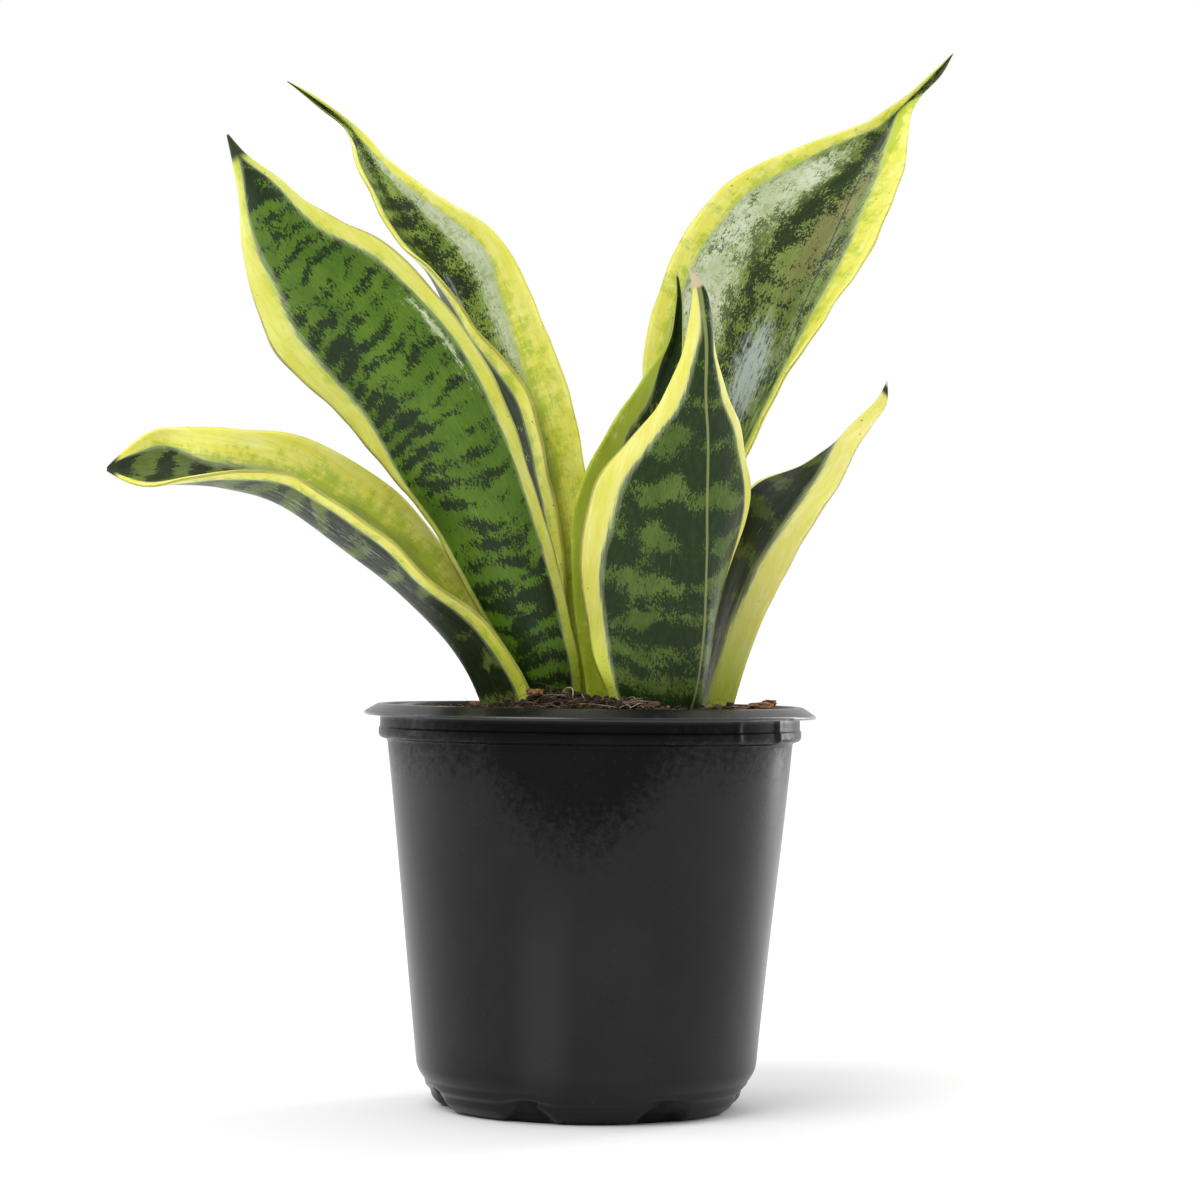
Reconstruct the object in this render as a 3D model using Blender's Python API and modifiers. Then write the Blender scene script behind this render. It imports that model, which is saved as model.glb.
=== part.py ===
"""Potted snake plant: a black nursery pot, its soil, a rhizome with roots, and seven leaves.

The frame stands on the ground at the centre of the pot's base: +Z up, the front of the
plant towards -Y, +X to the right. Sizes below are in millimetres; MM turns them into metres.
"""
import math
import random
from dataclasses import dataclass

import bmesh
import bpy
import numpy as np

MM = 0.001
GAP = 0.3                       # air left between pieces that touch
SOCKET_GAP = 0.5                # air around a leaf where it enters the soil

# ---- nursery pot -------------------------------------------------------------------
POT_HEIGHT = 142.0
LIP_RADIUS = 80.0
LIP_DROP = 2.8                  # how far the lip slopes down to its edge
LIP_THICK = 1.2
COLLAR_RADIUS = 74.2
COLLAR_HEIGHT = 11.6            # from the pot's top down to the step under the collar
BEAD_PROUD = 0.5
SHOULDER_RADIUS = 71.6
HEEL_RADIUS = 60.2
HEEL_HEIGHT = 16.5
FOOT_RADIUS = 50.0
POT_WALL = 1.1
POT_FLOOR = 2.0
POT_STEPS = 72
NOTCH_COUNT = 7
NOTCH_FIRST_DEG = 22.0          # turn of the first notch from straight ahead
NOTCH_WIDTH = 13.0
NOTCH_HEIGHT = 3.8
NOTCH_INNER = 42.0

# ---- soil --------------------------------------------------------------------------
SOIL_EDGE = POT_HEIGHT - 4.0    # top of the soil beside the pot's wall
LEAF_FOOT = SOIL_EDGE - 22.0    # height at which every leaf stands on the rhizome
SOIL_SPLIT = LEAF_FOOT          # underside of the loose top layer
SOIL_MOUND = 5.0                # rise of the soil towards the plant
SOIL_RINGS = 9
SOIL_BUMPS = (                  # x, y, radius, height of the heaps among the leaves
    (-12, -30, 14, 4.0), (14, -44, 16, 2.2), (50, -28, 13, 1.8), (60, 6, 12, 2.4),
    (-48, -20, 16, -0.8), (-40, 36, 20, -1.0), (20, 44, 22, -0.8), (-4, 12, 12, 1.2),
)

# ---- rhizome and roots -------------------------------------------------------------
RHIZOME_CENTRE = (4.0, -3.0)
RHIZOME_LENGTH = 84.0
RHIZOME_WIDTH = 46.0
RHIZOME_DEPTH = 17.0
ROOT_RADIUS = 2.0
ROOT_DEPTH = 6.0                # root centre below the top of the lower soil
ROOTS = (                       # turn from +X in degrees, reach beyond the rhizome
    (38.0, 60.0), (128.0, 56.0), (208.0, 60.0), (318.0, 58.0),
)

# ---- leaves ------------------------------------------------------------------------
LEAF_KEEL_THICK = 2.6
LEAF_EDGE_THICK = 1.1
LEAF_TIP_HALF = 0.55
LEAF_ROWS = 27


@dataclass(frozen=True)
class Rib:
    """One cross-section: the keel point, then width and angle of each half.

    Angles are taken around the keel: 0 towards the plant's right, 90 towards the front.
    """

    keel: tuple
    left: tuple
    right: tuple


@dataclass(frozen=True)
class Leaf:
    """A leaf as ribs from its base to its tip; left and right seen on its inner face."""

    name: str
    ribs: tuple
    bow: tuple = (0.06, 0.06)    # outward swell of each half, part of its width
    columns: tuple = (4, 4)      # mesh columns in each half


LEAF_LOW_LEFT = Leaf("leaf_low_left", (
    Rib((-32, -2, 116), (14, 39), (14, -42)),
    Rib((-37, -3, 141), (23, 41), (22, -45)),
    Rib((-48, -8, 162), (21, 45), (21, -42)),
    Rib((-67, -12, 182), (23, 64), (23.5, -23)),
    Rib((-85, -16, 196), (26, 63), (27, -14)),
    Rib((-108, -20, 212), (24, 66), (25, -17)),
    Rib((-128, -24, 218), (20, 78), (20, -13)),
    Rib((-147, -26, 220), (15, 100), (19, -22)),
    Rib((-160, -28, 221), (8, 117), (11, -7)),
    Rib((-168, -30, 222), (0, 117), (0, -7)),
))

LEAF_FRONT_LEFT = Leaf("leaf_front_left", (
    Rib((-14, -9, 116), (11, -27), (11, -153)),
    Rib((-15, -13, 141), (14, -30), (14, -146)),
    Rib((-17, -17, 158), (14, -27), (14, -153)),
    Rib((-24, -21, 178), (17.5, -28), (18, -151)),
    Rib((-35, -27, 204), (21, -27), (21.5, -150)),
    Rib((-47, -33, 228), (24.5, -21), (25, -157)),
    Rib((-64, -40, 254), (28, -19), (28.5, -157)),
    Rib((-86, -45, 277), (29, -19), (29, -161)),
    Rib((-105, -48, 298), (20.5, -26), (20.5, -150)),
    Rib((-116, -48, 318), (10.5, -37), (9, -141)),
    Rib((-122, -47, 328), (4, -38), (3, -150)),
    Rib((-126, -46, 336), (0, -38), (0, -150)),
))

LEAF_BACK_LEFT = Leaf("leaf_back_left", (
    Rib((-10, 10, 116), (10, 115), (10, 37)),
    Rib((-12, 12, 141), (12, 95), (14, 30)),
    Rib((-19, 14, 189), (16.5, 52), (21, 25)),
    Rib((-24, 18, 213), (19, 55), (25, 21)),
    Rib((-33, 22, 242), (21, 51), (28, 18)),
    Rib((-47, 30, 272), (19, 72), (30, 13)),
    Rib((-56, 36, 296), (19.5, 99), (26.5, 12)),
    Rib((-70, 42, 319), (16.5, 116), (14.5, 10)),
    Rib((-82, 48, 338), (11, 116), (6, 5)),
    Rib((-90, 52, 351), (4.5, 105), (3, 30)),
    Rib((-102, 57, 362), (3, 124), (2.5, 65)),
    Rib((-115, 62, 371), (0, 124), (0, 65)),
))

LEAF_TALL_RIGHT = Leaf("leaf_tall_right", (
    Rib((15, 14, 116), (10, 151), (11, 27)),
    Rib((17, 18, 141), (18, 155), (14, 34)),
    Rib((26, 24, 183), (22.5, 158), (14, 66)),
    Rib((39, 29, 212), (31, 165), (16, 70)),
    Rib((52, 34, 233), (43, 162), (17, 80)),
    Rib((64, 38, 258), (51, 165), (17, 80)),
    Rib((74, 44, 281), (54, 164), (17, 62)),
    Rib((86, 50, 310), (47, 165), (20, 46)),
    Rib((97, 57, 335), (26.5, 165), (20, 46)),
    Rib((107, 63, 355), (8, 157), (12, 47)),
    Rib((116, 68, 367), (3, 125), (3.5, 51)),
    Rib((125, 71, 376), (2.5, 127), (2.5, 39)),
    Rib((133, 74, 386), (0, 127), (0, 39)),
), columns=(6, 3))

LEAF_CENTRE = Leaf("leaf_centre", (
    Rib((8, 0, 116), (8, 150), (8, 30)),
    Rib((10, 0, 141), (12.5, 151), (12.5, 29)),
    Rib((10, 4, 182), (18, 159), (18, 47)),
    Rib((12, 7, 208), (20.5, 157), (19.5, 43)),
    Rib((19, 9, 232), (18.5, 152), (17.5, 50)),
    Rib((25, 10, 256), (10, 141), (9.5, 40)),
    Rib((29, 10, 274), (4, 120), (4, 46)),
    Rib((30, 10, 287), (2, 124), (2, 53)),
    Rib((29, 9, 297), (0, 124), (0, 53)),
))

LEAF_FRONT_RIGHT = Leaf("leaf_front_right", (
    Rib((22, -24, 116), (12.5, -29), (14.5, -164)),
    Rib((34, -27, 141), (12.5, -76), (32, -175)),
    Rib((38, -30, 165), (16, -79), (40.5, -167)),
    Rib((39, -34, 193), (20, -59), (44.5, -168)),
    Rib((39, -38, 213), (22, -44), (41.5, -164)),
    Rib((39, -42, 233), (18, -44), (28.5, -159)),
    Rib((38, -45, 249), (10, -42), (15.5, -157)),
    Rib((38, -46, 265), (5, -50), (8.5, -152)),
    Rib((37, -46, 278), (3.5, -40), (5, -150)),
    Rib((35, -46, 286), (2.5, -10), (2.5, -130)),
    Rib((32, -46, 292), (0, -10), (0, -130)),
), bow=(0.1, 0.1), columns=(3, 6))

LEAF_LOW_RIGHT = Leaf("leaf_low_right", (
    Rib((38, -1, 116), (9, -117), (8, 40)),
    Rib((42, 1, 141), (11, -112), (11, 45)),
    Rib((48, 4, 166), (13.5, -116), (14, 49)),
    Rib((56, 6, 189), (17.5, -128), (16.5, 49)),
    Rib((69, 6, 209), (19.5, -151), (16, 57)),
    Rib((81, 5, 226), (9, -130), (13, 53)),
    Rib((89, 2, 238), (4.5, -100), (9.5, 54)),
    Rib((98, -3, 248), (2, -101), (5, 38)),
    Rib((102, -6, 253), (1, -130), (3, 36)),
    Rib((103, -8, 257), (0, -130), (0, 36)),
))

LEAVES = (
    LEAF_LOW_LEFT, LEAF_FRONT_LEFT, LEAF_BACK_LEFT, LEAF_TALL_RIGHT,
    LEAF_CENTRE, LEAF_FRONT_RIGHT, LEAF_LOW_RIGHT,
)

# ---- bits lying on the soil --------------------------------------------------------
# name, x and y as shares of the soil's radius, length, width, height, turn in degrees
CHIPS = (
    ("bark_chip_1", -0.26, -0.52, 8.0, 5.0, 3.0, 25),
    ("bark_chip_2", 0.82, -0.27, 11.0, 6.0, 3.0, -30),
    ("bark_chip_3", 0.88, 0.11, 9.0, 5.5, 2.6, 60),
    ("bark_chip_4", -0.71, -0.41, 8.5, 5.0, 2.4, 110),
    ("bark_chip_5", -0.55, 0.52, 10.0, 6.5, 3.0, 10),
    ("bark_chip_6", 0.36, 0.69, 9.0, 6.0, 2.8, 75),
)
CHIP_SEED = 4
CHIP_ROUGH = 0.16


# ---- small helpers -----------------------------------------------------------------
def clear_scene():
    for thing in list(bpy.data.objects):
        bpy.data.objects.remove(thing, do_unlink=True)


def new_collection(name):
    group = bpy.data.collections.new(name)
    bpy.context.scene.collection.children.link(group)
    return group


def make_material(name, colour, roughness, coat=0.0):
    material = bpy.data.materials.new(name)
    material.use_nodes = True
    shader = material.node_tree.nodes["Principled BSDF"]
    shader.inputs["Base Color"].default_value = (*colour, 1.0)
    shader.inputs["Roughness"].default_value = roughness
    shader.inputs["Coat Weight"].default_value = coat
    return material


def add_object(name, mesh, group, material=None):
    thing = bpy.data.objects.new(name, mesh)
    group.objects.link(thing)
    if material is not None:
        mesh.materials.append(material)
    return thing


def face_outwards(work):
    """Turn every face of a closed shell away from its inside."""
    bmesh.ops.recalc_face_normals(work, faces=work.faces)
    if work.calc_volume(signed=True) < 0:
        bmesh.ops.reverse_faces(work, faces=work.faces)


def mesh_from(name, verts, faces):
    """A mesh from corner points in millimetres, its faces turned outwards."""
    mesh = bpy.data.meshes.new(name)
    mesh.from_pydata([tuple(float(c) * MM for c in v) for v in verts], [], faces)
    work = bmesh.new()
    work.from_mesh(mesh)
    face_outwards(work)
    work.to_mesh(mesh)
    work.free()
    return mesh


def lathe(name, profile, group, material=None, steps=POT_STEPS):
    """Turn a profile of (radius, height) points, outer side running downwards."""
    mesh = bpy.data.meshes.new(name)
    points = [(r * MM, 0.0, z * MM) for r, z in profile]
    edges = [(i, i + 1) for i in range(len(points) - 1)]
    mesh.from_pydata(points, edges, [])
    thing = add_object(name, mesh, group, material)
    turn = thing.modifiers.new("turn", "SCREW")
    turn.axis = "Z"
    turn.angle = 2 * math.pi
    turn.steps = steps
    turn.render_steps = steps
    turn.use_merge_vertices = True
    turn.merge_threshold = 0.00005
    return thing


def cut(target, cutter):
    """Take the cutter away from the target."""
    saw = target.modifiers.new("cut " + cutter.name, "BOOLEAN")
    saw.operation = "DIFFERENCE"
    saw.solver = "EXACT"
    saw.object = cutter


# ---- the pot -----------------------------------------------------------------------
def pot_radius(z):
    """Outer radius of the pot's body between heel and shoulder."""
    step_z = POT_HEIGHT - COLLAR_HEIGHT - 1.6
    part = (z - HEEL_HEIGHT) / (step_z - HEEL_HEIGHT)
    return HEEL_RADIUS + (SHOULDER_RADIUS - HEEL_RADIUS) * part


def pot_outside():
    """Outer profile from the lip down to the foot."""
    top = POT_HEIGHT
    under = top - COLLAR_HEIGHT
    return [
        (COLLAR_RADIUS + 0.9, top),
        (LIP_RADIUS - 0.5, top - LIP_DROP + 0.3),
        (LIP_RADIUS, top - LIP_DROP - 0.2),
        (LIP_RADIUS - 0.2, top - LIP_DROP - LIP_THICK),
        (COLLAR_RADIUS + 0.4, top - LIP_THICK - 0.5),
        (COLLAR_RADIUS, top - LIP_THICK - 1.2),
        (COLLAR_RADIUS, under + 3.6),
        (COLLAR_RADIUS + BEAD_PROUD, under + 3.0),
        (COLLAR_RADIUS + BEAD_PROUD, under + 0.6),
        (COLLAR_RADIUS - 0.2, under),
        (SHOULDER_RADIUS + 0.4, under - 1.0),
        (SHOULDER_RADIUS, under - 1.6),
        (pot_radius(HEEL_HEIGHT + 74), HEEL_HEIGHT + 74),
        (pot_radius(HEEL_HEIGHT + 36), HEEL_HEIGHT + 36),
        (HEEL_RADIUS, HEEL_HEIGHT),
        (HEEL_RADIUS - 0.3, HEEL_HEIGHT - 2.3),
        (HEEL_RADIUS - 1.7, HEEL_HEIGHT - 4.8),
        (HEEL_RADIUS - 2.7, HEEL_HEIGHT - 6.2),
        (HEEL_RADIUS - 3.4, HEEL_HEIGHT - 8.6),
        (HEEL_RADIUS - 5.0, HEEL_HEIGHT - 10.2),
        (HEEL_RADIUS - 5.7, HEEL_HEIGHT - 12.8),
        (FOOT_RADIUS + 2.6, 1.5),
        (FOOT_RADIUS, 0.0),
    ]


def pot_inside(shrink=0.0):
    """Inner profile from the lip down to the floor; shrink leaves a gap to the wall."""
    top = POT_HEIGHT
    under = top - COLLAR_HEIGHT
    wall = POT_WALL + shrink
    return [
        (COLLAR_RADIUS - wall + 0.5, top),
        (COLLAR_RADIUS - wall, top - 1.0),
        (COLLAR_RADIUS - wall, under + 0.4),
        (SHOULDER_RADIUS - wall, under - 1.4),
        (pot_radius(HEEL_HEIGHT + 74) - wall, HEEL_HEIGHT + 74),
        (pot_radius(HEEL_HEIGHT + 36) - wall, HEEL_HEIGHT + 36),
        (HEEL_RADIUS - wall, HEEL_HEIGHT),
        (HEEL_RADIUS - 1.9 - wall, HEEL_HEIGHT - 5.0),
        (HEEL_RADIUS - 3.6 - wall, HEEL_HEIGHT - 8.8),
        (HEEL_RADIUS - 6.0 - wall, HEEL_HEIGHT - 12.2),
        (FOOT_RADIUS - 1.0 - shrink, POT_FLOOR + shrink),
    ]


def wall_radius_at(z, profile):
    """Radius of a falling profile at a height."""
    for (r0, z0), (r1, z1) in zip(profile, profile[1:]):
        if z0 >= z >= z1 and z0 > z1:
            return r0 + (r1 - r0) * (z0 - z) / (z0 - z1)
    return profile[-1][0]


def notch_cutter(index, tools):
    """An arched slot across the foot of the pot, where water drains."""
    mesh = bpy.data.meshes.new(f"notch_{index + 1}")
    work = bmesh.new()
    length = LIP_RADIUS - NOTCH_INNER
    bmesh.ops.create_cone(
        work, cap_ends=True, segments=20, radius1=1.0, radius2=1.0, depth=length * MM)
    turn = math.radians(-90.0 - NOTCH_FIRST_DEG + 360.0 / NOTCH_COUNT * index)
    middle = (NOTCH_INNER + length / 2) * MM
    for vert in work.verts:
        across, up, out = vert.co.x, vert.co.y, vert.co.z
        out += middle
        across *= NOTCH_WIDTH / 2 * MM
        vert.co.x = out * math.cos(turn) - across * math.sin(turn)
        vert.co.y = out * math.sin(turn) + across * math.cos(turn)
        vert.co.z = up * NOTCH_HEIGHT * MM
    face_outwards(work)
    work.to_mesh(mesh)
    work.free()
    return add_object(mesh.name, mesh, tools)


def build_pot(parts, tools):
    inside = pot_inside()
    profile = [(0.0, POT_FLOOR)] + inside[::-1] + pot_outside() + [(0.0, 0.0)]
    plastic = make_material("nursery_pot_plastic", (0.012, 0.012, 0.013), 0.32)
    pot = lathe("nursery_pot", profile, parts, plastic)
    for index in range(NOTCH_COUNT):
        cut(pot, notch_cutter(index, tools))
    return pot


# ---- leaves ------------------------------------------------------------------------
def unit(rows):
    size = np.linalg.norm(rows, axis=-1, keepdims=True)
    return rows / np.maximum(size, 1e-9)


def blend(places, values, wanted):
    """Smooth interpolation that never overshoots the given values."""
    places = np.asarray(places, float)
    values = np.asarray(values, float)
    step = np.diff(places)
    slope = np.diff(values) / step
    lean = np.zeros(len(places))
    lean[0] = slope[0]
    lean[-1] = slope[-1]
    for i in range(1, len(places) - 1):
        if slope[i - 1] * slope[i] > 0:
            a = 2 * step[i] + step[i - 1]
            b = step[i] + 2 * step[i - 1]
            lean[i] = (a + b) / (a / slope[i - 1] + b / slope[i])
    k = np.clip(np.searchsorted(places, wanted, side="right") - 1, 0, len(step) - 1)
    s = (wanted - places[k]) / step[k]
    return ((1 + 2 * s) * (1 - s) ** 2 * values[k]
            + s * (1 - s) ** 2 * step[k] * lean[k]
            + s ** 2 * (3 - 2 * s) * values[k + 1]
            + s ** 2 * (s - 1) * step[k] * lean[k + 1])


def keel_curve(points, fine=24):
    """Catmull-Rom curve through the keel points, with the place of each along it."""
    points = np.asarray(points, float)
    ends = np.vstack([2 * points[0] - points[1], points, 2 * points[-1] - points[-2]])
    curve = []
    for i in range(1, len(ends) - 2):
        a, b, c, d = ends[i - 1:i + 3]
        for s in np.arange(fine) / fine:
            curve.append(0.5 * (2 * b + (c - a) * s + (2 * a - 5 * b + 4 * c - d) * s ** 2
                                + (3 * b - 3 * c + d - a) * s ** 3))
    curve.append(points[-1])
    curve = np.array(curve)
    place = np.concatenate([[0], np.cumsum(np.linalg.norm(np.diff(curve, axis=0), axis=1))])
    return curve, place, place[::fine]


def keel_frames(leaf, rows):
    """Keel points, tangents and the two directions across, evenly along the leaf."""
    lift = np.array([0.0, 0.0, LEAF_FOOT - leaf.ribs[0].keel[2]])
    curve, place, knots = keel_curve([np.add(rib.keel, lift) for rib in leaf.ribs])
    wanted = np.linspace(0, place[-1], rows)
    keel = np.stack([np.interp(wanted, place, curve[:, k]) for k in range(3)], axis=1)
    reach = place[-1] / rows * 0.6
    ahead = np.clip(wanted + reach, 0, place[-1])
    behind = np.clip(wanted - reach, 0, place[-1])
    tangent = unit(np.stack([
        np.interp(ahead, place, curve[:, k]) - np.interp(behind, place, curve[:, k])
        for k in range(3)], axis=1))
    tangent[0] = (0, 0, 1)
    front = np.array([0.0, -1.0, 0.0])
    forward = unit(front - tangent * (tangent @ front)[:, None])
    rightward = np.cross(tangent, forward)
    return keel, tangent, forward, rightward, wanted, knots


def cross_section(left, right, bow, columns):
    """Points of a rounded section from the left edge over the keel to the right edge.

    Args are flat vectors from the keel; the result has columns + 1 flat points.
    """
    keel = np.zeros(2)
    stops = [left, None, keel, None, right]
    for place, (start, end) in ((1, (left, keel)), (3, (keel, right))):
        chord = end - start
        out = unit(np.array([chord[1], -chord[0]]))
        swell = bow[0] if place == 1 else bow[1]
        stops[place] = (start + end) / 2 + out * swell * np.linalg.norm(chord)
    stops = np.array(stops)
    lean = np.zeros_like(stops)
    lean[1:-1] = unit(stops[2:] - stops[:-2])
    lean[0] = unit(2 * (stops[1] - stops[0]) - lean[1] * np.linalg.norm(stops[1] - stops[0]))
    lean[-1] = unit(2 * (stops[-1] - stops[-2])
                    - lean[-2] * np.linalg.norm(stops[-1] - stops[-2]))
    spots = np.concatenate([
        np.linspace(0, 2, columns[0] + 1), np.linspace(2, 4, columns[1] + 1)[1:]])
    points = []
    for spot in spots:
        k = min(int(spot), 3)
        s = spot - k
        size = np.linalg.norm(stops[k + 1] - stops[k])
        points.append((1 + 2 * s) * (1 - s) ** 2 * stops[k] + s * (1 - s) ** 2 * size * lean[k]
                      + s * s * (3 - 2 * s) * stops[k + 1] + s * s * (s - 1) * size * lean[k + 1])
    return np.array(points)


def half_vectors(leaf, wanted, knots, side, grow):
    """Flat vectors from keel to edge for every row of one half."""
    ribs = [getattr(rib, side) for rib in leaf.ribs]
    width = blend(knots, [rib[0] for rib in ribs], wanted)
    width = np.maximum(width, LEAF_TIP_HALF) + grow
    angle = np.radians(blend(knots, [rib[1] for rib in ribs], wanted))
    return np.stack([width * np.cos(angle), width * np.sin(angle)], axis=1)


def leaf_grid(leaf, rows, grow=0.0):
    """The leaf's middle surface as a grid, its normals and its thickness."""
    keel, tangent, forward, rightward, wanted, knots = keel_frames(leaf, rows)
    left = half_vectors(leaf, wanted, knots, "left", grow)
    right = half_vectors(leaf, wanted, knots, "right", grow)
    grid = []
    for i in range(rows):
        flat = cross_section(left[i], right[i], leaf.bow, leaf.columns)
        grid.append(keel[i] + rightward[i] * flat[:, :1] + forward[i] * flat[:, 1:])
    grid = np.array(grid)
    across = np.gradient(grid, axis=1)
    along = np.gradient(grid, axis=0)
    normal = unit(np.cross(across, along))
    normal[0, :, 2] = 0
    normal[0] = unit(normal[0])
    side = np.concatenate([np.linspace(1, 0, leaf.columns[0] + 1),
                           np.linspace(0, 1, leaf.columns[1] + 1)[1:]])
    body = LEAF_EDGE_THICK + (LEAF_KEEL_THICK - LEAF_EDGE_THICK) * (1 - side ** 2)
    span = np.linalg.norm(left, axis=1) + np.linalg.norm(right, axis=1)
    thin = np.clip(span / 14.0, 0.45, 1.0)
    return grid, normal, body[None, :] * thin[:, None] + 2 * grow


def leaf_mesh(leaf, name, rows=LEAF_ROWS, grow=0.0, keep=None):
    """A closed leaf: inner and outer skins, two edges, base and tip."""
    grid, normal, thick = leaf_grid(leaf, rows, grow)
    if keep is not None:
        grid, normal, thick = grid[:keep], normal[:keep], thick[:keep]
    half = normal * thick[..., None] / 2
    skins = np.concatenate([grid - half, (grid + half)[:, ::-1]], axis=1)
    rows, ring = skins.shape[:2]
    if grow:
        skins[0, :, 2] -= grow
    verts = skins.reshape(-1, 3)
    faces = []
    for i in range(rows - 1):
        for j in range(ring):
            k = (j + 1) % ring
            faces.append((i * ring + j, i * ring + k, (i + 1) * ring + k, (i + 1) * ring + j))
    last = (rows - 1) * ring
    for j in range(ring // 2 - 1):
        other = ring - 1 - j
        faces.append((j, j + 1, other - 1, other))
        faces.append((last + j, last + j + 1, last + other - 1, last + other))
    return mesh_from(name, verts, faces)


def socket_rows(leaf):
    """Number of a leaf's rows up to a little above the highest heap of soil."""
    keel = keel_frames(leaf, LEAF_ROWS)[0]
    highest = SOIL_EDGE + SOIL_MOUND + 2 * max(heap[3] for heap in SOIL_BUMPS)
    return int(np.searchsorted(keel[:, 2], highest)) + 2


def build_leaves(parts):
    for leaf in LEAVES:
        green = make_material(leaf.name + "_skin", (0.09, 0.19, 0.05), 0.35)
        add_object(leaf.name, leaf_mesh(leaf, leaf.name), parts, green)


# ---- soil --------------------------------------------------------------------------
def soil_radius():
    """Radius of the soil's top."""
    return wall_radius_at(SOIL_EDGE, pot_inside(GAP))


def soil_height(x, y):
    """Top of the soil at a place."""
    part = min(math.hypot(x, y) / soil_radius(), 1.0)
    height = SOIL_EDGE + SOIL_MOUND * (1 - part ** 2) ** 1.5
    for bx, by, radius, rise in SOIL_BUMPS:
        apart = math.hypot(x - bx, y - by) / radius
        height += rise * math.exp(-apart * apart)
    return height


def top_soil_mesh():
    """A disc with a heaped top whose side follows the pot's wall."""
    wall = pot_inside(GAP)
    side = [(wall_radius_at(SOIL_EDGE - 1.0, wall), None)]
    side += [(r, z) for r, z in wall if SOIL_SPLIT < z < SOIL_EDGE - 1.5]
    side.append((wall_radius_at(SOIL_SPLIT, wall), SOIL_SPLIT))
    verts, faces = [], []
    steps = POT_STEPS // 2
    rim = side[0][0]
    verts.append((0, 0, soil_height(0, 0)))
    for ring in range(1, SOIL_RINGS + 1):
        for k in range(steps):
            turn = 2 * math.pi * k / steps
            x = rim * ring / SOIL_RINGS * math.cos(turn)
            y = rim * ring / SOIL_RINGS * math.sin(turn)
            verts.append((x, y, soil_height(x, y)))
    for radius, height in side[1:]:
        for k in range(steps):
            turn = 2 * math.pi * k / steps
            verts.append((radius * math.cos(turn), radius * math.sin(turn), height))
    verts.append((0, 0, SOIL_SPLIT))
    rings = SOIL_RINGS + len(side) - 1
    for k in range(steps):
        after = (k + 1) % steps
        faces.append((0, 1 + k, 1 + after))
        for ring in range(rings - 1):
            a = 1 + ring * steps
            b = a + steps
            faces.append((a + k, b + k, b + after, a + after))
        last = 1 + (rings - 1) * steps
        faces.append((last + k, len(verts) - 1, last + after))
    return mesh_from("top_soil", verts, faces)


def rhizome_mesh(name, grow=0.0, top=None):
    """A lump flat on top, rounded below; grown a little it is the pit it lies in."""
    flat = SOIL_SPLIT - 2 * GAP if top is None else top
    half_x = RHIZOME_LENGTH / 2 + grow
    half_y = RHIZOME_WIDTH / 2 + grow
    deep = RHIZOME_DEPTH + grow
    steps, rings = 28, 5
    verts, faces = [], []
    levels = [(1.0, flat)] if top is not None else []
    base = SOIL_SPLIT - 2 * GAP
    for ring in range(rings):
        tilt = math.pi / 2 * ring / rings
        levels.append((math.cos(tilt), base - deep * math.sin(tilt)))
    for part, height in levels:
        for k in range(steps):
            turn = 2 * math.pi * k / steps
            verts.append((RHIZOME_CENTRE[0] + half_x * part * math.cos(turn),
                          RHIZOME_CENTRE[1] + half_y * part * math.sin(turn), height))
    verts.append((*RHIZOME_CENTRE, base - deep))
    for k in range(steps):
        after = (k + 1) % steps
        for ring in range(len(levels) - 1):
            a = ring * steps
            faces.append((a + k, a + after, a + steps + after, a + steps + k))
        faces.append(((len(levels) - 1) * steps + k, (len(levels) - 1) * steps + after,
                      len(verts) - 1))
    faces.append(tuple(range(steps)))
    return mesh_from(name, verts, faces)


def root_span(turn_deg, reach):
    """Where a root starts beside the rhizome and where it ends, flat."""
    turn = math.radians(turn_deg)
    way = (math.cos(turn), math.sin(turn))
    half_x = RHIZOME_LENGTH / 2
    half_y = RHIZOME_WIDTH / 2
    out = 1 / math.hypot(way[0] / half_x, way[1] / half_y) + 1.2
    start = (RHIZOME_CENTRE[0] + way[0] * out, RHIZOME_CENTRE[1] + way[1] * out)
    return start, (way[0] * reach, way[1] * reach)


def rod_mesh(name, start, end, radius, up=0.0):
    """A six-sided rod between two flat points; up lifts its upper half for a groove."""
    level = SOIL_SPLIT - 2 * GAP - ROOT_DEPTH
    along = np.array([end[0] - start[0], end[1] - start[1], 0.0])
    along /= np.linalg.norm(along)
    side = np.array([-along[1], along[0], 0.0])
    verts, faces = [], []
    for spot, part in ((start, 1.0), (end, 0.55)):
        part = 1.0 if up else part
        for k in range(8):
            turn = 2 * math.pi * (k + 0.5) / 8
            point = np.array([*spot, level]) + side * radius * part * math.cos(turn)
            point[2] += radius * part * math.sin(turn) + (up if math.sin(turn) > 0 else 0.0)
            verts.append(tuple(point))
    for k in range(8):
        after = (k + 1) % 8
        faces.append((k, after, 8 + after, 8 + k))
    faces.append(tuple(range(8)))
    faces.append(tuple(range(8, 16)))
    return mesh_from(name, verts, faces)


def build_roots(parts, tools, soil):
    pale = make_material("root_skin", (0.5, 0.36, 0.2), 0.8)
    for index, (turn, reach) in enumerate(ROOTS):
        start, end = root_span(turn, reach)
        name = f"root_{index + 1}"
        add_object(name, rod_mesh(name, start, end, ROOT_RADIUS), parts, pale)
        way = np.array(end) - np.array(start)
        way = way / np.linalg.norm(way) * 2.5
        groove = rod_mesh(name + "_groove", np.array(start) - way, np.array(end) + way / 8,
                          ROOT_RADIUS + GAP / math.cos(math.pi / 8), up=ROOT_DEPTH + 2.0)
        cut(soil, add_object(groove.name, groove, tools))


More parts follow.
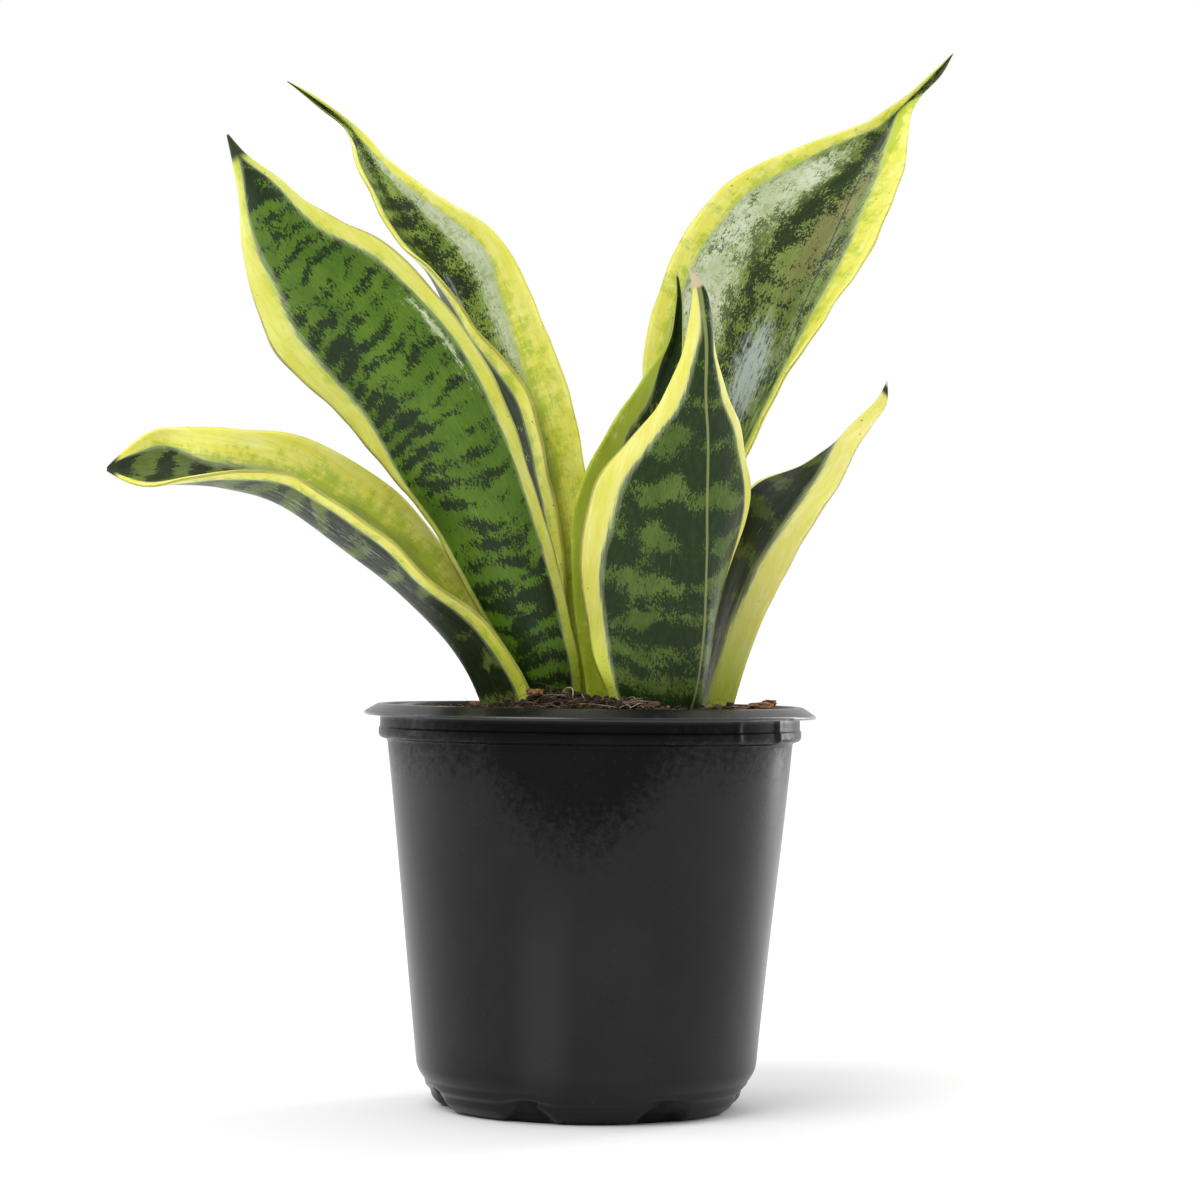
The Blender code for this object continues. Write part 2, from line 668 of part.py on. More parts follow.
def build_soil(parts, tools):
    earth = make_material("potting_soil_earth", (0.045, 0.028, 0.018), 0.95)
    wall = pot_inside(GAP)
    top = SOIL_SPLIT - GAP
    side = [(wall_radius_at(top, wall), top)] + [(r, z) for r, z in wall if z < top]
    profile = [(0.0, top)] + side + [(0.0, side[-1][1])]
    soil = lathe("potting_soil", profile, parts, earth, steps=POT_STEPS // 2)
    pit = add_object("rhizome_pit", rhizome_mesh("rhizome_pit", GAP, top + 2), tools)
    cut(soil, pit)
    flesh = make_material("rhizome_flesh", (0.55, 0.33, 0.14), 0.7)
    add_object("rhizome", rhizome_mesh("rhizome"), parts, flesh)
    build_roots(parts, tools, soil)
    crumbs = make_material("top_soil_crumbs", (0.05, 0.031, 0.02), 0.95)
    layer = add_object("top_soil", top_soil_mesh(), parts, crumbs)
    for leaf in LEAVES:
        name = leaf.name + "_socket"
        mesh = leaf_mesh(leaf, name, grow=SOCKET_GAP, keep=socket_rows(leaf))
        cut(layer, add_object(name, mesh, tools))


def build_chips(parts):
    dice = random.Random(CHIP_SEED)
    bark = make_material("bark_chip_wood", (0.16, 0.075, 0.035), 0.85)
    for name, share_x, share_y, length, width, height, turn_deg in CHIPS:
        x = share_x * soil_radius()
        y = share_y * soil_radius()
        mesh = bpy.data.meshes.new(name)
        work = bmesh.new()
        bmesh.ops.create_icosphere(work, subdivisions=1, radius=0.5)
        turn = math.radians(turn_deg)
        for vert in work.verts:
            vert.co *= 1 + dice.uniform(-CHIP_ROUGH, CHIP_ROUGH)
            along = vert.co.x * length
            side = vert.co.y * width
            vert.co.x = x + along * math.cos(turn) - side * math.sin(turn)
            vert.co.y = y + along * math.sin(turn) + side * math.cos(turn)
            vert.co.z *= height
        low = min(vert.co.z for vert in work.verts)
        ground = max(soil_height(x + dx, y + dy)
                     for dx in (-length / 2, 0, length / 2) for dy in (-length / 2, 0, length / 2))
        for vert in work.verts:
            vert.co.z += ground - low + 2 * GAP
            vert.co *= MM
        work.to_mesh(mesh)
        work.free()
        add_object(name, mesh, parts, bark)


def main():
    clear_scene()
    parts = new_collection("potted snake plant")
    tools = new_collection("cutters")
    build_pot(parts, tools)
    build_soil(parts, tools)
    build_leaves(parts)
    build_chips(parts)
    for tool in tools.objects:
        tool.hide_render = True
        tool.display_type = "WIRE"


main()
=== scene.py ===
"""Looks of the potted snake plant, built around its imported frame.

Lengths are in metres and stand in the frame: +Z up, the front of the plant towards -Y.
Finishes are written in millimetres where a pattern follows a leaf.
"""

import logging
import math
import random
from contextlib import contextmanager
from dataclasses import dataclass, field
from enum import Enum
from typing import Any, Iterator, Optional, Union

import bpy
import numpy as np
from mathutils import Euler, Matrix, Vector, noise
from mathutils.bvhtree import BVHTree


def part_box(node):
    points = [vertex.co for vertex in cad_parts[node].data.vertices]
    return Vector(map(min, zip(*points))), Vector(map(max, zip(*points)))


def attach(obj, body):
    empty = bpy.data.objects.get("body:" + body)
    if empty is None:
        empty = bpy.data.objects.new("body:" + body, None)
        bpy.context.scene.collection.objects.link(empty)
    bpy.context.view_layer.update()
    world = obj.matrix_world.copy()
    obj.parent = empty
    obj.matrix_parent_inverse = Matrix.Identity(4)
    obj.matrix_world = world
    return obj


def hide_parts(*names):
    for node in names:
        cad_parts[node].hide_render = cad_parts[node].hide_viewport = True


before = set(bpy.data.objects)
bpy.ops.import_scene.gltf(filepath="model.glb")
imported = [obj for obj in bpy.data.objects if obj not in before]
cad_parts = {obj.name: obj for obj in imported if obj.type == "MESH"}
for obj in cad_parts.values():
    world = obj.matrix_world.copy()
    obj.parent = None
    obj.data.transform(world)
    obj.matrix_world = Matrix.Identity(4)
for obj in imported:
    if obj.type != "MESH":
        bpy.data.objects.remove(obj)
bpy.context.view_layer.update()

log = logging.getLogger("snake_plant")
MM = 0.001
BODY = "root"
FULL_TURN = 2 * math.pi
WELD = 0.00001              # metres within which the corners of a solid are one
Colour = tuple[float, float, float]
Spot = tuple[float, float, float]
Shape = tuple[np.ndarray, list]
Stations = tuple[tuple[float, float], ...]


# ---- plain helpers -------------------------------------------------------------------
def tone(red: float, green: float, blue: float) -> Colour:
    """A colour as the eye names it, 0 to 255, turned into light.

    Args:
        red, green, blue: display values.

    Returns:
        The linear colour.
    """
    parts = []
    for part in (red, green, blue):
        level = part / 255.0
        parts.append(level / 12.92 if level <= 0.04045 else ((level + 0.055) / 1.055) ** 2.4)
    return (parts[0], parts[1], parts[2])


def deselect() -> None:
    """Leave nothing selected, in object mode."""
    if bpy.context.object is not None and bpy.context.object.mode != "OBJECT":
        bpy.ops.object.mode_set(mode="OBJECT")
    bpy.ops.object.select_all(action="DESELECT")


def only(piece: bpy.types.Object) -> None:
    """Select one object alone and make it active.

    Args:
        piece: the object.
    """
    deselect()
    piece.select_set(True)
    bpy.context.view_layer.objects.active = piece


@contextmanager
def edited(piece: bpy.types.Object) -> Iterator[None]:
    """Hold one object in edit mode with all of it selected.

    Args:
        piece: the mesh object.

    Returns:
        Nothing; the object is back in object mode afterwards.
    """
    only(piece)
    bpy.ops.object.mode_set(mode="EDIT")
    bpy.ops.mesh.select_all(action="SELECT")
    yield
    bpy.ops.object.mode_set(mode="OBJECT")


def face_outwards() -> None:
    """In edit mode, turn every face of the mesh outwards."""
    bpy.ops.mesh.select_all(action="SELECT")
    bpy.ops.mesh.normals_make_consistent(inside=False)


def points_of(piece: bpy.types.Object) -> np.ndarray:
    """All corner points of a mesh object.

    Args:
        piece: the mesh object.

    Returns:
        One row for each corner.
    """
    flat = np.empty(len(piece.data.vertices) * 3)
    piece.data.vertices.foreach_get("co", flat)
    return flat.reshape(-1, 3)


def place_points(piece: bpy.types.Object, points: np.ndarray) -> None:
    """Move every corner of a mesh object to the given points."""
    piece.data.vertices.foreach_set("co", np.ascontiguousarray(points, dtype=float).ravel())
    piece.data.update()


def paint(piece: bpy.types.Object, name: str, values: np.ndarray) -> None:
    """Store one number for each corner of a mesh, for its material to read."""
    layer = piece.data.attributes.new(name, "FLOAT", "POINT")
    layer.data.foreach_set("value", np.ascontiguousarray(values, dtype=np.float32).ravel())


def spline(places: np.ndarray, values: np.ndarray, wanted: np.ndarray) -> np.ndarray:
    """Natural cubic curve through given values.

    Args:
        places: rising positions of the values.
        values: one row for each place.
        wanted: positions to read.

    Returns:
        One row for each wanted position.
    """
    count = len(places)
    step = np.diff(places)
    slope = np.diff(values, axis=0) / step[:, None]
    system = np.eye(count)
    bend = np.zeros_like(values)
    for i in range(1, count - 1):
        system[i, i - 1:i + 2] = (step[i - 1], 2 * (step[i - 1] + step[i]), step[i])
        bend[i] = 6 * (slope[i] - slope[i - 1])
    curve = np.linalg.solve(system, bend)
    k = np.clip(np.searchsorted(places, wanted, side="right") - 1, 0, count - 2)
    a = (wanted - places[k])[:, None]
    b = (places[k + 1] - wanted)[:, None]
    h = step[k][:, None]
    return (curve[k] * b ** 3 / (6 * h) + curve[k + 1] * a ** 3 / (6 * h)
            + (values[k] / h - curve[k] * h / 6) * b
            + (values[k + 1] / h - curve[k + 1] * h / 6) * a)


def along(stations: Stations, wanted: np.ndarray) -> np.ndarray:
    """Read a short list of (place, value) pairs, eased between them.

    Args:
        stations: the pairs, with rising places.
        wanted: places to read.

    Returns:
        One value for each wanted place.
    """
    places = np.array([place for place, _ in stations])
    values = np.array([value for _, value in stations])
    k = np.clip(np.searchsorted(places, wanted, side="right") - 1, 0, len(places) - 2)
    part = np.clip((wanted - places[k]) / (places[k + 1] - places[k]), 0, 1)
    ease = part * part * (3 - 2 * part)
    return values[k] + (values[k + 1] - values[k]) * ease


# ---- shader arithmetic ---------------------------------------------------------------
class Amount:
    """A number that changes over a surface, written like arithmetic."""

    def __init__(self, surface: "Surface", socket: bpy.types.NodeSocket) -> None:
        """Wrap one output socket."""
        self.surface = surface
        self.socket = socket

    def _join(self, operation: str, first: Any, second: Any) -> "Amount":
        """Add one Math node."""
        return self.surface.amount("ShaderNodeMath", {"operation": operation},
                                   {0: first, 1: second})

    def __add__(self, other: Any) -> "Amount":
        """self + other."""
        return self._join("ADD", self, other)

    def __radd__(self, other: Any) -> "Amount":
        """other + self."""
        return self._join("ADD", other, self)

    def __sub__(self, other: Any) -> "Amount":
        """self - other."""
        return self._join("SUBTRACT", self, other)

    def __rsub__(self, other: Any) -> "Amount":
        """other - self."""
        return self._join("SUBTRACT", other, self)

    def __mul__(self, other: Any) -> "Amount":
        """self * other."""
        return self._join("MULTIPLY", self, other)

    def __rmul__(self, other: Any) -> "Amount":
        """other * self."""
        return self._join("MULTIPLY", other, self)

    def lowest(self, other: Any) -> "Amount":
        """The smaller of two."""
        return self._join("MINIMUM", self, other)

    def highest(self, other: Any) -> "Amount":
        """The larger of two."""
        return self._join("MAXIMUM", self, other)

    def wave(self) -> "Amount":
        """The sine."""
        return self._join("SINE", self, 0.0)

    def size(self) -> "Amount":
        """The value without its sign."""
        return self._join("ABSOLUTE", self, 0.0)

    def rise(self, low: float, high: float) -> "Amount":
        """0 below low, 1 above high, eased between.

        Args:
            low: where the rise starts.
            high: where it ends; below low, it falls instead.

        Returns:
            The eased step.
        """
        settings = {"interpolation_type": "SMOOTHSTEP", "clamp": True}
        if low < high:
            sockets = {"Value": self, "From Min": low, "From Max": high}
        else:
            sockets = {"Value": self, "From Min": high, "From Max": low,
                       "To Min": 1.0, "To Max": 0.0}
        return self.surface.amount("ShaderNodeMapRange", settings, sockets)


Number = Union[float, Amount]
MIX_SHARE, MIX_FIRST, MIX_SECOND, MIX_COLOUR = 0, 6, 7, 2     # colour sockets of a Mix node


class Surface:
    """One material and the nodes that make it."""

    def __init__(self, name: str) -> None:
        """Start a material with a Principled shader.

        Args:
            name: its name.
        """
        self.material = bpy.data.materials.new(name)
        self.material.use_nodes = True
        self.tree = self.material.node_tree
        self.shader = self.tree.nodes["Principled BSDF"]

    def node(self, kind: str, settings: dict[str, Any],
             sockets: dict[Any, Any]) -> bpy.types.Node:
        """Add a node.

        Args:
            kind: the node's type.
            settings: its own properties, set first.
            sockets: values or links for its inputs, by name or number.

        Returns:
            The node.
        """
        made = self.tree.nodes.new(kind)
        for key, value in settings.items():
            setattr(made, key, value)
        for key, value in sockets.items():
            self.feed(made.inputs[key], value)
        return made

    def feed(self, socket: bpy.types.NodeSocket, value: Any) -> None:
        """Link a socket to an amount or another socket, or set its value.

        Args:
            socket: the input.
            value: an amount, an output socket, a colour or a number.
        """
        if isinstance(value, Amount):
            value = value.socket
        if isinstance(value, bpy.types.NodeSocket):
            self.tree.links.new(value, socket)
        elif isinstance(value, tuple) and len(value) == 3 and socket.type == "RGBA":
            socket.default_value = (*value, 1.0)
        else:
            socket.default_value = value

    def amount(self, kind: str, settings: dict[str, Any], sockets: dict[Any, Any]) -> Amount:
        """Add a node and wrap its first output as a number."""
        return Amount(self, self.node(kind, settings, sockets).outputs[0])

    def painted(self, name: str) -> Amount:
        """A number stored on the mesh."""
        made = self.node("ShaderNodeAttribute", {"attribute_name": name}, {})
        return Amount(self, made.outputs["Fac"])

    def place(self) -> bpy.types.NodeSocket:
        """Object coordinates, in metres."""
        return self.node("ShaderNodeTexCoord", {}, {}).outputs["Object"]

    def at(self, x: Number, y: Number, z: Number) -> bpy.types.NodeSocket:
        """A position from three numbers."""
        return self.node("ShaderNodeCombineXYZ", {}, {0: x, 1: y, 2: z}).outputs[0]

    def noise(self, where: Any, scale: float = 1.0, detail: float = 2.0,
              roughness: float = 0.5, stretch: float = 0.0) -> Amount:
        """Soft noise between 0 and 1.

        Args:
            where: the position socket.
            scale: repeats for each unit.
            detail: finer layers.
            roughness: strength of the finer layers.
            stretch: how far the noise warps itself.

        Returns:
            The noise.
        """
        return self.amount("ShaderNodeTexNoise", {"noise_dimensions": "3D"}, {
            "Vector": where, "Scale": scale, "Detail": detail,
            "Roughness": roughness, "Distortion": stretch})

    def spots(self, where: Any, scale: float = 1.0) -> Amount:
        """Distance to the nearest of many scattered points.

        Args:
            where: the position socket.
            scale: points for each unit.

        Returns:
            The distance, in units of the scale.
        """
        return self.amount("ShaderNodeTexVoronoi", {"feature": "F1"}, {
            "Vector": where, "Scale": scale})

    def mix(self, share: Number, first: Any, second: Any) -> bpy.types.NodeSocket:
        """Blend two colours.

        Args:
            share: 0 for the first to 1 for the second.
            first: a colour or a socket.
            second: a colour or a socket.

        Returns:
            The blended colour.
        """
        made = self.node("ShaderNodeMix", {"data_type": "RGBA", "clamp_factor": True},
                         {MIX_SHARE: share, MIX_FIRST: first, MIX_SECOND: second})
        return made.outputs[MIX_COLOUR]

    def bump(self, height: Amount, strength: float, depth: float,
             under: Optional[bpy.types.NodeSocket] = None) -> bpy.types.NodeSocket:
        """Relief from a height between 0 and 1.

        Args:
            height: the relief.
            strength: how much of it shows.
            depth: metres that a height of 1 stands for.
            under: relief that this one lies on.

        Returns:
            The bent normal.
        """
        sockets: dict[Any, Any] = {"Strength": strength, "Distance": depth, "Height": height}
        if under is not None:
            sockets["Normal"] = under
        return self.node("ShaderNodeBump", {}, sockets).outputs[0]

    def finish(self, **inputs: Any) -> bpy.types.Material:
        """Set the shader's inputs.

        Args:
            inputs: values or links, named with underscores for spaces.

        Returns:
            The finished material.
        """
        for key, value in inputs.items():
            self.feed(self.shader.inputs[key.replace("_", " ")], value)
        return self.material


class Grain(Enum):
    """Noises read in metres: repeats for each metre, detail, roughness and self-warp."""

    PLASTIC_CLOUD = (26.0, 3.0, 0.6)
    PLASTIC_FINE = (900.0, 2.0, 0.6)
    PLASTIC_DUSTY = (34.0, 2.0)
    PLASTIC_GRIT = (260.0, 3.0, 0.7)
    PLASTIC_FRECKLE = (420.0, 4.0, 0.75)
    ORANGE_PEEL = (170.0, 2.0)
    PLASTIC_SAG = (30.0, 2.0)
    EARTH_CLOUD = (90.0, 3.0, 0.65)
    EARTH_GRAIN = (900.0, 3.0, 0.7)
    EARTH_BITS = (340.0, 2.0, 0.6, 0.4)
    BARK_LAYERS = (320.0, 3.0, 0.6, 1.2)
    BARK_GRAIN = (1100.0, 3.0, 0.7)
    FIBRE_GRAIN = (1400.0, 2.0, 0.7)
    FLOOR_CLOUD = (3.0, 2.0)


# ---- leaf finish ---------------------------------------------------------------------
class Zone(Enum):
    """What a patch on a leaf does to its pattern."""

    # pale zones: partly the leaf's own pale bloom, partly a painted highlight
    PALE_AND_HIGHLIGHT = "pale"
    # darker banding: partly the leaf's own darker zones, partly painted shade at feet, tips and
    # where leaves lie in shade
    DARK_AND_SHADE = "dusk"
    OLIVE = "olive"
    # painted sheen: a streaky bluish-white reflection painted into the colour
    PAINTED_SHEEN = "sheen"
    # greener margins, and moss-green painted shade over them where a leaf folds
    GREENING_AND_SHADE = "greening"


@dataclass(frozen=True)
class Patch:
    """A soft oval on a leaf: middle and reach across (-1 to 1) and along (0 to 1)."""

    zone: Zone
    across: float
    along: float
    wide: float
    long: float
    strength: float = 1.0
    faces: tuple[float, float] = (1.0, 1.0)     # share on the outer and on the inner face

    def reach(self, across: np.ndarray, length: np.ndarray, inner: np.ndarray) -> np.ndarray:
        """How strongly the patch acts.

        Args:
            across: place across the leaf, -1 to 1.
            length: place along it, 0 to 1.
            inner: 1 on the inner face, 0 on the outer.

        Returns:
            One number for each point.
        """
        far = ((across - self.across) / self.wide) ** 2 + ((length - self.along) / self.long) ** 2
        face = self.faces[0] + (self.faces[1] - self.faces[0]) * inner
        return self.strength * np.exp(-far) * face


@dataclass(frozen=True)
class Weave:
    """A noise laid on a leaf: repeats for each millimetre across and along, and its layer."""

    wide: float
    long: float
    layer: float
    detail: float = 2.0
    roughness: float = 0.5


class Growth(Enum):
    """The patterns that a leaf's skin is grown from."""

    BAND_STREAK = Weave(1.5, 0.07, 3.0, 3.0, 0.75)
    BAND_BEND = Weave(0.085, 0.025, 5.0, 1.0)
    BAND_TURN = Weave(0.02, 0.012, 15.0, 1.0)
    BAND_SPECK = Weave(1.5, 0.8, 21.0, 3.0, 0.75)
    BAND_CLOUD = Weave(0.05, 0.024, 25.0)
    GROUND_CLOUD = Weave(0.1, 0.06, 41.0, 3.0)
    GROUND_FINE = Weave(1.7, 0.3, 51.0, 3.0, 0.75)
    GROUND_CROSS = Weave(0.22, 0.3, 57.0, 4.0, 0.7)
    DEEP_CLOUD = Weave(0.6, 0.25, 61.0, 3.0, 0.65)
    SHEEN_COMB = Weave(1.1, 0.02, 67.0, 3.0, 0.75)
    SHEEN_FLECK = Weave(0.7, 0.3, 69.0, 4.0, 0.7)
    MARGIN_DRIFT = Weave(0.24, 0.06, 71.0, 4.0, 0.65)
    MARGIN_THREAD = Weave(1.5, 0.1, 81.0, 3.0, 0.7)
    MARGIN_BLOTCH = Weave(0.13, 0.17, 85.0, 4.0, 0.7)
    FRECKLE = Weave(0.24, 0.19, 91.0)
    FRECKLE_AREA = Weave(0.1, 0.1, 97.0)
    SCRATCH = Weave(1.4, 0.05, 99.0, 1.0)
    SCRATCH_AREA = Weave(0.12, 0.08, 100.0)
    SOIL_DUST = Weave(1.1, 1.1, 103.0, 3.0, 0.7)
    RIBS = Weave(2.2, 0.03, 101.0, 3.0, 0.75)
    PITS = Weave(2.2, 1.4, 107.0)
    DENTS = Weave(0.13, 0.035, 113.0)
    RAGGED_EDGE = Weave(1.2, 0.07, 121.0, 3.0, 0.7)
    WEAR = Weave(0.3, 0.12, 131.0, 3.0)


FACE_STEP = 31.0            # how far apart in the noise the two faces of a leaf lie
SEED_STEP = 7.3             # and two leaves whose seeds differ by one


@dataclass(frozen=True)
class LeafSkin:
    """The waxy skin of one leaf: banded green inside yellow margins.

    Lengths are in millimetres; shares run from 0 to 1.
    """

    green: Colour = tone(71, 105, 22)
    fresh: Colour = tone(97, 129, 34)
    deep: Colour = tone(20, 37, 12)
    pale: Colour = tone(192, 203, 160)
    yellow: Colour = tone(237, 233, 92)
    cream: Colour = tone(247, 246, 152)
    lime: Colour = tone(172, 196, 44)
    # moss green: painted shade where a leaf folds, and green blotches of the margins
    moss_and_shade: Colour = tone(112, 132, 36)
    shoot: Colour = tone(196, 220, 44)
    olive: Colour = tone(112, 108, 62)
    milk: Colour = tone(222, 228, 204)
    mottle: Colour = tone(150, 172, 96)
    faded: Colour = tone(108, 130, 74)
    # painted sheen: the bluish-white of a reflection
    shine: Colour = tone(190, 203, 202)
    rib_pale: Colour = tone(150, 160, 96)
    # painted shade: the dark line in the crease along the keel
    keel_shade_colour: Colour = tone(34, 42, 22)
    freckle: Colour = tone(104, 66, 28)
    scratch: Colour = tone(176, 168, 120)
    soil: Colour = tone(62, 42, 26)
    tip: Colour = tone(48, 58, 30)
    husk: Colour = tone(208, 188, 154)
    dark_tip: float = 0.97
    dried_tip: float = 2.0
    inner_dark: float = 0.5
    outer_dark: float = 0.5
    pitch: float = 8.6
    breadth: float = 12.0
    streak: float = 3.0
    sway: float = 5.0
    order: float = 1.0
    grain: float = 0.3
    drift: float = 0.3
    lime_share: float = 0.3
    rib_light: float = 0.0
    # how strongly the keel's crease gets painted shade
    keel_shade: float = 0.0
    gloss: float = 0.38
    level: float = 0.26
    seed: float = 0.0

    def laid(self, surface: Surface, growth: Growth) -> bpy.types.NodeSocket:
        """Leaf coordinates in repeats of a pattern.

        Args:
            surface: the material being made.
            growth: the pattern.

        Returns:
            The position to read the pattern at.
        """
        weave = growth.value
        return surface.at(surface.painted("across_mm") * weave.wide,
                          surface.painted("along_mm") * weave.long,
                          surface.painted("inner") * FACE_STEP
                          + (self.seed * SEED_STEP + weave.layer))

    def grown(self, surface: Surface, growth: Growth) -> Amount:
        """One pattern as soft noise between 0 and 1.

        Args:
            surface: the material being made.
            growth: the pattern.

        Returns:
            The noise.
        """
        return surface.noise(self.laid(surface, growth), detail=growth.value.detail,
                             roughness=growth.value.roughness)

    def bands(self, surface: Surface) -> Amount:
        """How dark the skin is from its ragged cross-bands, with darker banding, partly painted
        shade, in the dark-and-shade patches.

        Args:
            surface: the material being made.

        Returns:
            0 between the bands to 1 on them.
        """
        streak = self.grown(surface, Growth.BAND_STREAK)
        bend = self.grown(surface, Growth.BAND_BEND)
        shifted = (surface.painted("along_mm") + (streak - 0.5) * (2.6 * self.streak)
                   + (bend - 0.5) * (2.2 * self.sway))
        inner = surface.painted("inner")
        turn = self.grown(surface, Growth.BAND_TURN)
        ring = (shifted * (FULL_TURN / self.pitch) + turn * 12.0).wave()
        band = surface.noise(surface.at(
            surface.painted("across_mm") * (1 / self.breadth), shifted * (1.1 / self.pitch),
            inner * FACE_STEP + self.seed * SEED_STEP), detail=3.0, roughness=0.65)
        speck = self.grown(surface, Growth.BAND_SPECK)
        cloud = self.grown(surface, Growth.BAND_CLOUD)
        share = self.outer_dark + inner * (self.inner_dark - self.outer_dark)
        # the dark-and-shade patches add darker banding, partly painted shade; pale patches thin
        # the bands
        level = (band + ring * (0.12 * self.order) + (speck - 0.5) * self.grain
                 + (cloud - 0.5) * self.drift + (share - 0.5) * 0.5
                 + surface.painted("dusk") * 0.14 - surface.painted("pale") * 0.12
                 - surface.painted("olive") * 0.08)
        return level.rise(0.475, 0.55)

    def ground(self, surface: Surface) -> bpy.types.NodeSocket:
        """The lighter green between the bands, with its olive zones and its pale zones, which are
        partly a painted highlight.

        Args:
            surface: the material being made.

        Returns:
            The colour.
        """
        cloud = self.grown(surface, Growth.GROUND_CLOUD)
        fine = self.grown(surface, Growth.GROUND_FINE)
        base = surface.mix((cloud * 0.7 + fine * 0.55).rise(0.42, 0.86), self.green, self.fresh)
        cross = self.grown(surface, Growth.GROUND_CROSS)
        wild = (fine - 0.5) * 0.9 + (cross - 0.5) * 1.5
        # pale zones lighten towards milk; where a pale patch stands for a highlight, this is
        # painted highlight
        pale = surface.painted("pale")
        milk = surface.mix((fine * 0.5 + cloud * 0.6).rise(0.42, 0.72), self.pale, self.milk)
        milk = surface.mix(cross.rise(0.5, 0.62) * 0.6, milk, self.mottle)
        base = surface.mix((pale * 0.85 + wild).rise(0.28, 0.72), base, milk)
        return surface.mix((surface.painted("olive") + wild).rise(0.35, 0.7) * 0.85,
                           base, self.olive)

    def inside(self, surface: Surface) -> bpy.types.NodeSocket:
        """Colour inside the margins: bands, ground, a painted sheen, a pale midrib and a line of
        painted shade in the keel's crease.

        Args:
            surface: the material being made.

        Returns:
            The colour.
        """
        soft = self.grown(surface, Growth.DEEP_CLOUD)
        deep = surface.mix(soft.rise(0.38, 0.75), self.deep,
                           tuple(part * 1.9 for part in self.deep))
        deep = surface.mix(surface.painted("pale").rise(0.15, 0.75) * 0.75, deep, self.faded)
        dark = self.bands(surface)
        colour = surface.mix(dark * 0.96, self.ground(surface), deep)
        # painted sheen: streaks of the shine colour where the sheen patches lie
        comb = self.grown(surface, Growth.SHEEN_COMB)
        fleck = self.grown(surface, Growth.SHEEN_FLECK)
        sheen = surface.painted("sheen") * ((comb - 0.5) * 2.6 + (fleck - 0.5) * 2.2 + 1.0)
        colour = surface.mix(sheen.rise(0.4, 1.15) * 0.85, colour, self.shine)
        rib = surface.painted("keel_mm").size()
        if self.rib_light:
            colour = surface.mix(rib.rise(0.55, 0.2) * self.rib_light, colour, self.rib_pale)
        # painted shade: a dark line along the keel's crease
        if self.keel_shade:
            colour = surface.mix(rib.rise(0.5, 0.15) * self.keel_shade, colour, self.keel_shade_colour)
        return colour

    def margins(self, surface: Surface) -> bpy.types.NodeSocket:
        """Colour of the yellow margins, greener in blotches and at the foot, with moss-green
        painted shade where a leaf folds.

        Args:
            surface: the material being made.

        Returns:
            The colour.
        """
        drift = self.grown(surface, Growth.MARGIN_DRIFT)
        thread = self.grown(surface, Growth.MARGIN_THREAD)
        colour = surface.mix((drift * 0.75 + thread * 0.4).rise(0.45, 0.8),
                             self.yellow, self.cream)
        blotch = self.grown(surface, Growth.MARGIN_BLOTCH)
        # margins turn lime in green blotches and in the dark-and-shade patches, there partly as
        # painted shade
        green = (blotch * 0.75 + thread * 0.35 + surface.painted("lime") * 0.2
                 + (self.lime_share - 0.5) * 0.5 + surface.painted("dusk") * 0.12
                 + surface.painted("greening") * 0.16)
        colour = surface.mix(green.rise(0.56, 0.78) * 0.8, colour, self.lime)
        # painted shade: moss green over the margins in the greening-and-shade patches, as at a
        # leaf's fold
        shade = surface.painted("greening") * 0.5 + (drift - 0.5) * 0.9
        colour = surface.mix(shade.rise(0.4, 0.75) * 0.6, colour, self.moss_and_shade)
        low = surface.painted("along_mm").rise(60.0, 20.0)
        return surface.mix(low * 0.6, colour, self.shoot)

    def blemishes(self, surface: Surface,
                  colour: bpy.types.NodeSocket) -> bpy.types.NodeSocket:
        """Brown freckles, pale scratches along the leaf and a dusting of soil at the foot.

        Args:
            surface: the material being made.
            colour: the clean colour.

        Returns:
            The colour with its blemishes.
        """
        near = surface.spots(self.laid(surface, Growth.FRECKLE)).rise(0.1, 0.045)
        some = self.grown(surface, Growth.FRECKLE_AREA).rise(0.5, 0.6)
        colour = surface.mix(near * some * 0.85, colour, self.freckle)
        scratch = self.grown(surface, Growth.SCRATCH).rise(0.735, 0.76)
        some = self.grown(surface, Growth.SCRATCH_AREA).rise(0.56, 0.62)
        colour = surface.mix(scratch * some * 0.5, colour, self.scratch)
        dust = self.grown(surface, Growth.SOIL_DUST)
        low = surface.painted("along_mm").rise(46.0, 24.0)
        return surface.mix((dust + low * 0.2).rise(0.8, 0.86) * 0.8, colour, self.soil)

    def relief(self, surface: Surface) -> bpy.types.NodeSocket:
        """Slow dents, fine ribs along the leaf and a pitted cuticle.

        Args:
            surface: the material being made.

        Returns:
            The bent normal.
        """
        bent = surface.bump(self.grown(surface, Growth.DENTS), 0.7, 0.0016)
        bent = surface.bump(self.grown(surface, Growth.RIBS), 0.5, 0.00032, bent)
        return surface.bump(self.grown(surface, Growth.PITS), 0.25, 0.00012, bent)

